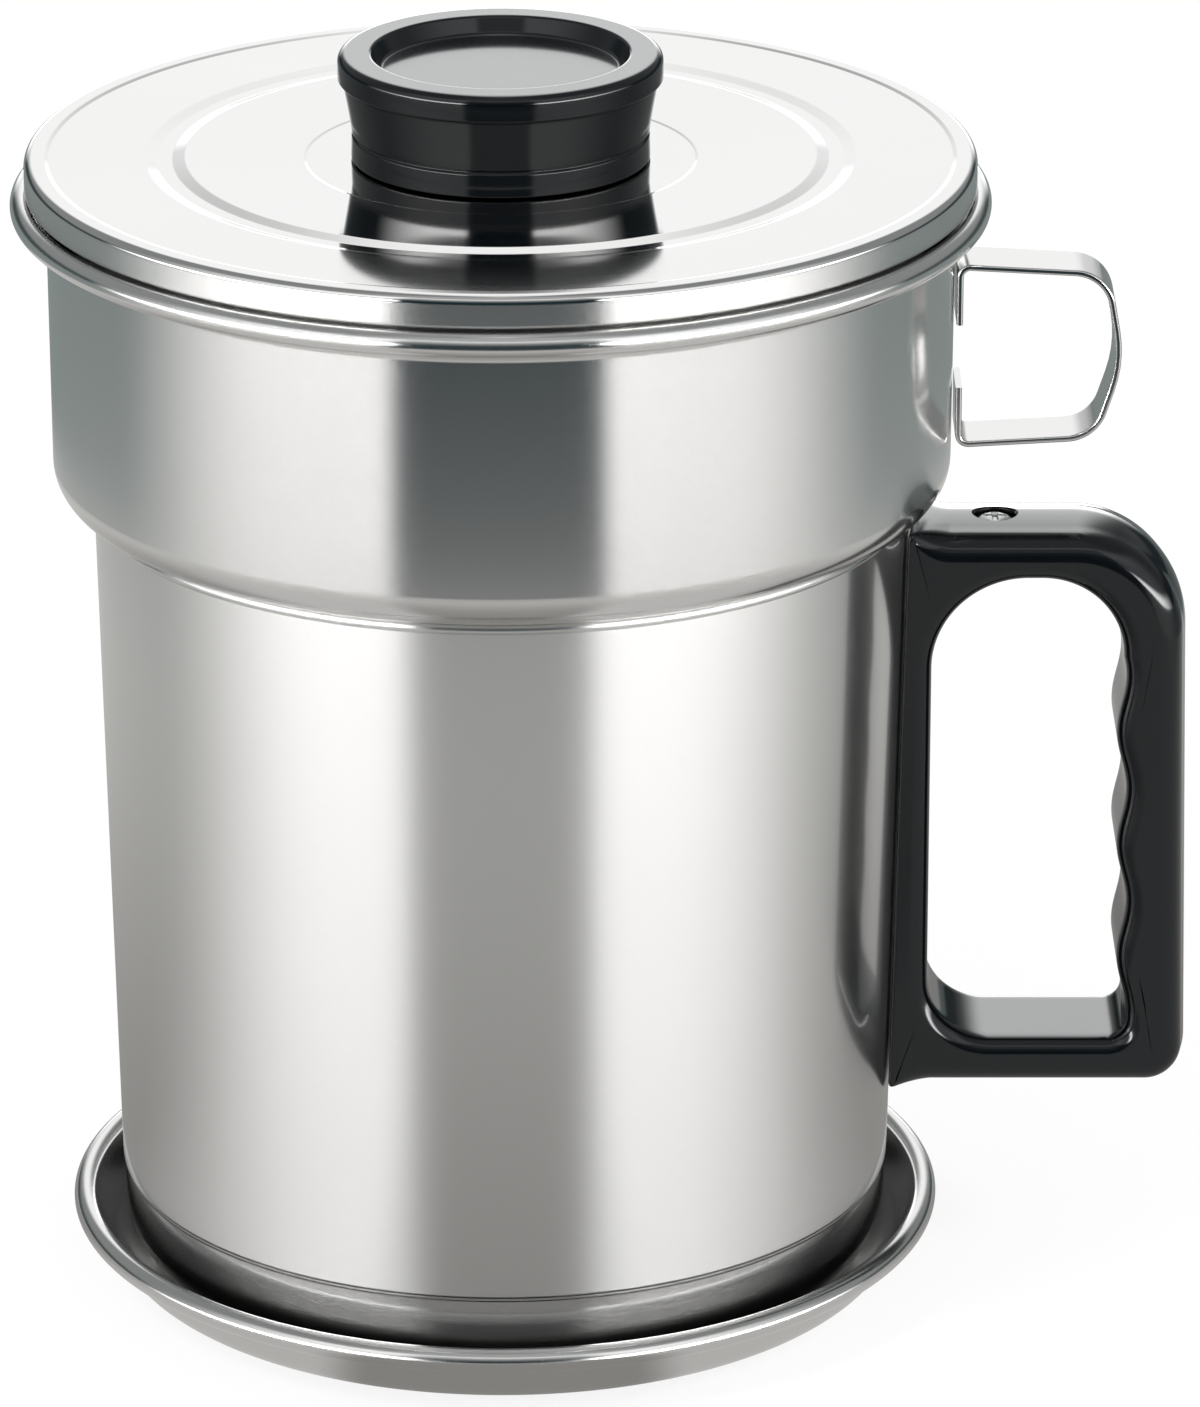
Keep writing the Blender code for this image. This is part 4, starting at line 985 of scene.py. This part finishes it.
    def outward(self, loop):
        """Outward unit normals of a closed loop that runs anticlockwise."""
        along = np.roll(loop, -1, axis=0) - np.roll(loop, 1, axis=0)
        along /= np.linalg.norm(along, axis=1)[:, None]
        return np.column_stack([along[:, 1], -along[:, 0]])

    def cut_recess(self, handle, top):
        """Cuts the round recess for the screw's head out of the top arm."""
        radius, flare, overrun, lift, drop = 3.2 * MM, 0.5 * MM, 2 * MM, 0.02 * MM, 0.45 * MM
        mouth_bend, floor_bend = 0.3 * MM, 0.2 * MM
        outline = rounded_path([
            (0, top + overrun), (radius + flare, top + overrun, 0), (radius + flare, top + lift, 0),
            (radius, top - drop, mouth_bend), (radius, top - RECESS_DEPTH, floor_bend), (0, top - RECESS_DEPTH)])
        cutter = turned("recess_tool", "pot_tier", outline, None, RECESS_STEPS, (SCREW_X, 0))
        step = handle.modifiers.new("recess", "BOOLEAN")
        step.operation, step.solver, step.object = "DIFFERENCE", "EXACT", cutter
        graph = bpy.context.evaluated_depsgraph_get()
        made = bpy.data.meshes.new_from_object(handle.evaluated_get(graph))
        handle.modifiers.clear()
        old, handle.data = handle.data, made
        bpy.data.meshes.remove(old)
        bpy.data.objects.remove(cutter)
        smoothed(made, MOULDED_SMOOTH_ANGLE)


# Studio

class POT_OT_stage(bpy.types.Operator):
    """Pale floor, white backdrop, soft lamps and the camera"""

    bl_idname = "strainer_pot.stage"
    bl_label = "Studio"

    def execute(self, context):
        studio = context.scene.pot_studio
        self.floor(studio)
        self.world(context)
        self.lamps(studio)
        self.camera(context, studio)
        context.scene.view_settings.view_transform = "Standard"
        return {"FINISHED"}

    def floor(self, studio):
        """A round floor: white to the camera with a faint contact shadow; metal sees grey and white areas."""
        steps, rings = 128, np.array([0.0001, 0.2, 1.0, studio.floor_radius])[:, None]
        points = carried_round(rings, -CLEARANCE, full_turn(steps))
        data = bpy.data.meshes.new("floor")
        data.from_pydata(points.tolist(), [], grid_faces(len(rings), steps, False, True).tolist())
        floor = placed("floor", data)
        made = bpy.data.materials.new("pale_floor")
        shader = bare_shader(made)
        x, y = shader.place()[:2]
        plain = shader.node("BsdfDiffuse", sockets={"Color": FLOOR_GREY})
        white = shader.node("Emission", sockets={"Color": WHITE, "Strength": 1.0})
        mirrored = shader.node("Emission", sockets={"Color": self.reflected_floor(shader, x, y), "Strength": 1.0})
        camera_ray = shader.node("LightPath", output="Is Camera Ray")
        first = shader.node("MixShader", sockets={0: camera_ray * FLOOR_WHITE_SHARE, 1: plain, 2: white})
        second = shader.node("MixShader", sockets={0: shader.mirrored_ray(), 1: first, 2: mirrored})
        shader.node("OutputMaterial", sockets={"Surface": second})
        data.materials.append(made)

    def bearing(self, shader, x, y):
        """Angle in degrees away from the camera's side of the studio, the same to left and right."""
        return shader.maths("ABSOLUTE", shader.degrees("ARCTAN2", x, -1 * y))

    def reflected_floor(self, shader, x, y):
        """What metal sees of the floor: a pale table that ends before the camera, bright sheets beyond it to
        left and right, and cooler greys round the back."""
        away, reach = self.bearing(shader, x, y), shader.reach(x, y)
        side = shader.ease(away, *TABLE_SIDES) * shader.ease(away, *TABLE_BACK, *FALL)
        near = shader.blend(side, TABLE_FRONT, TABLE_SIDE)
        table = shader.blend(shader.ease(reach, *TABLE_FADE), near, TABLE_EDGE)
        beyond = shader.blend(shader.ease(away, *SHEET_EDGE), DARK, SHEET_WHITE)
        beyond = shader.blend(shader.ease(away, *SHEET_BACK), beyond, BACK_GREY)
        return shader.blend(shader.ease(reach, *TABLE_END), table, beyond)

    def world(self, context):
        """White to the camera; metal sees tall soft boxes to left and right of the camera, a dark room between
        them with a panel overhead, and a white backdrop behind."""
        context.scene.world = bpy.data.worlds.new("studio")
        shader = bare_shader(context.scene.world)
        x, y, z = shader.parts(shader.node("TexCoord", output="Generated"))
        away, rise = self.bearing(shader, x, y), shader.degrees("ARCSINE", z)
        low_room = shader.blend(shader.ease(away, *ROOM_BACK), DARK, DIM_SIDE)
        high_room = shader.blend(shader.ease(rise, *ROOM_HIGHER), FRONT_HIGH, FRONT_HIGHER)
        high_room = shader.blend(shader.ease(away, *ROOM_SIDE), high_room, SIDE_HIGH)
        room = shader.blend(shader.ease(rise, *ROOM_RISE), low_room, high_room)
        box = shader.ease(away, *BOX_EDGE) * shader.ease(away, *BOX_BACK, *FALL)
        box = box * shader.ease(rise, *BOX_FOOT, *BOX_FOOT_LEVELS) * shader.ease(rise, *BOX_TOP, *BOX_TOP_LEVELS)
        backdrop = shader.ease(away, *BACKDROP_EDGE) * shader.ease(rise, *BACKDROP_TOP, *BACKDROP_TOP_LEVELS)
        backdrop = backdrop * shader.ease(rise, *BACKDROP_FOOT, *BACKDROP_FOOT_LEVELS)
        overhead = shader.ease(rise, *PANEL_FOOT) * shader.ease(rise, *PANEL_TOP, *FALL)
        overhead = overhead * shader.ease(away, *PANEL_EDGE, *PANEL_LEVELS)
        light = box + backdrop + overhead
        lamps = shader.node("CombineColor", sockets={0: light, 1: light, 2: light})
        glow = shader.node("Mix", {"data_type": "RGBA", "blend_type": "ADD"}, {"Factor": 1.0, 6: room, 7: lamps},
                           output=2)
        seen = shader.blend(shader.mirrored_ray(), WHITE, glow)
        back = shader.node("Background", sockets={"Color": seen, "Strength": 1.0})
        shader.node("OutputWorld", sockets={"Surface": back})

    def lamps(self, studio):
        """Two soft lamps above and before the object."""
        for name, place, width, power in LAMPS:
            light = bpy.data.lights.new(name, "AREA")
            light.shape, light.size, light.energy = "DISK", width, studio.lamp_strength * power
            lamp = placed(name, light)
            lamp.location = place
            lamp.visible_glossy = False
            lamp.rotation_mode = "QUATERNION"
            lamp.rotation_quaternion = (Vector(place) - Vector(LAMP_AIM)).to_track_quat("Z", "Y")

    def camera(self, context, studio):
        """A long lens at the photograph's angle."""
        data = bpy.data.cameras.new("camera")
        data.lens, data.sensor_width = studio.lens, SENSOR_WIDTH
        data.clip_start, data.clip_end = 0.05, 50.0
        made = placed("camera", data)
        back = Vector((0, -math.cos(studio.elevation), math.sin(studio.elevation)))
        made.location = Vector(studio.aim) + back * studio.distance
        made.rotation_mode = "QUATERNION"
        made.rotation_quaternion = back.to_track_quat("Z", "Y")
        context.scene.camera = made


class POT_PT_panel(bpy.types.Panel):
    """Sizes, colours and build steps of the strainer pot"""

    bl_label = "Strainer pot"
    bl_space_type = "VIEW_3D"
    bl_region_type = "UI"
    bl_category = "Strainer pot"

    def draw(self, context):
        for group in SETTINGS:
            box = self.layout.box()
            held = getattr(context.scene, group)
            for key in held.__annotations__:
                box.prop(held, key)
        for step in STEPS:
            self.layout.operator(step.bl_idname)


SETTINGS = {"pot_steel": PotSteel, "pot_moulding": PotMoulding, "pot_shapes": PotShapes, "pot_studio": PotStudio}
STEPS = (POT_OT_tray, POT_OT_pot, POT_OT_handle, POT_OT_cup, POT_OT_net, POT_OT_strap, POT_OT_lid, POT_OT_knob,
         POT_OT_stage)


def register():
    """Registers the settings, the operators and the panel."""
    for key, group in SETTINGS.items():
        bpy.utils.register_class(group)
        setattr(bpy.types.Scene, key, PointerProperty(type=group))
    for made in (*STEPS, POT_PT_panel):
        bpy.utils.register_class(made)


def unregister():
    """Removes what register() added."""
    for made in (POT_PT_panel, *reversed(STEPS)):
        bpy.utils.unregister_class(made)
    for key, group in reversed(list(SETTINGS.items())):
        delattr(bpy.types.Scene, key)
        bpy.utils.unregister_class(group)


def main():
    """Registers the add-on, then builds every piece and the studio."""
    register()
    for step in STEPS:
        family, action = step.bl_idname.split(".")
        getattr(getattr(bpy.ops, family), action)()


if __name__ == "__main__":
    main()
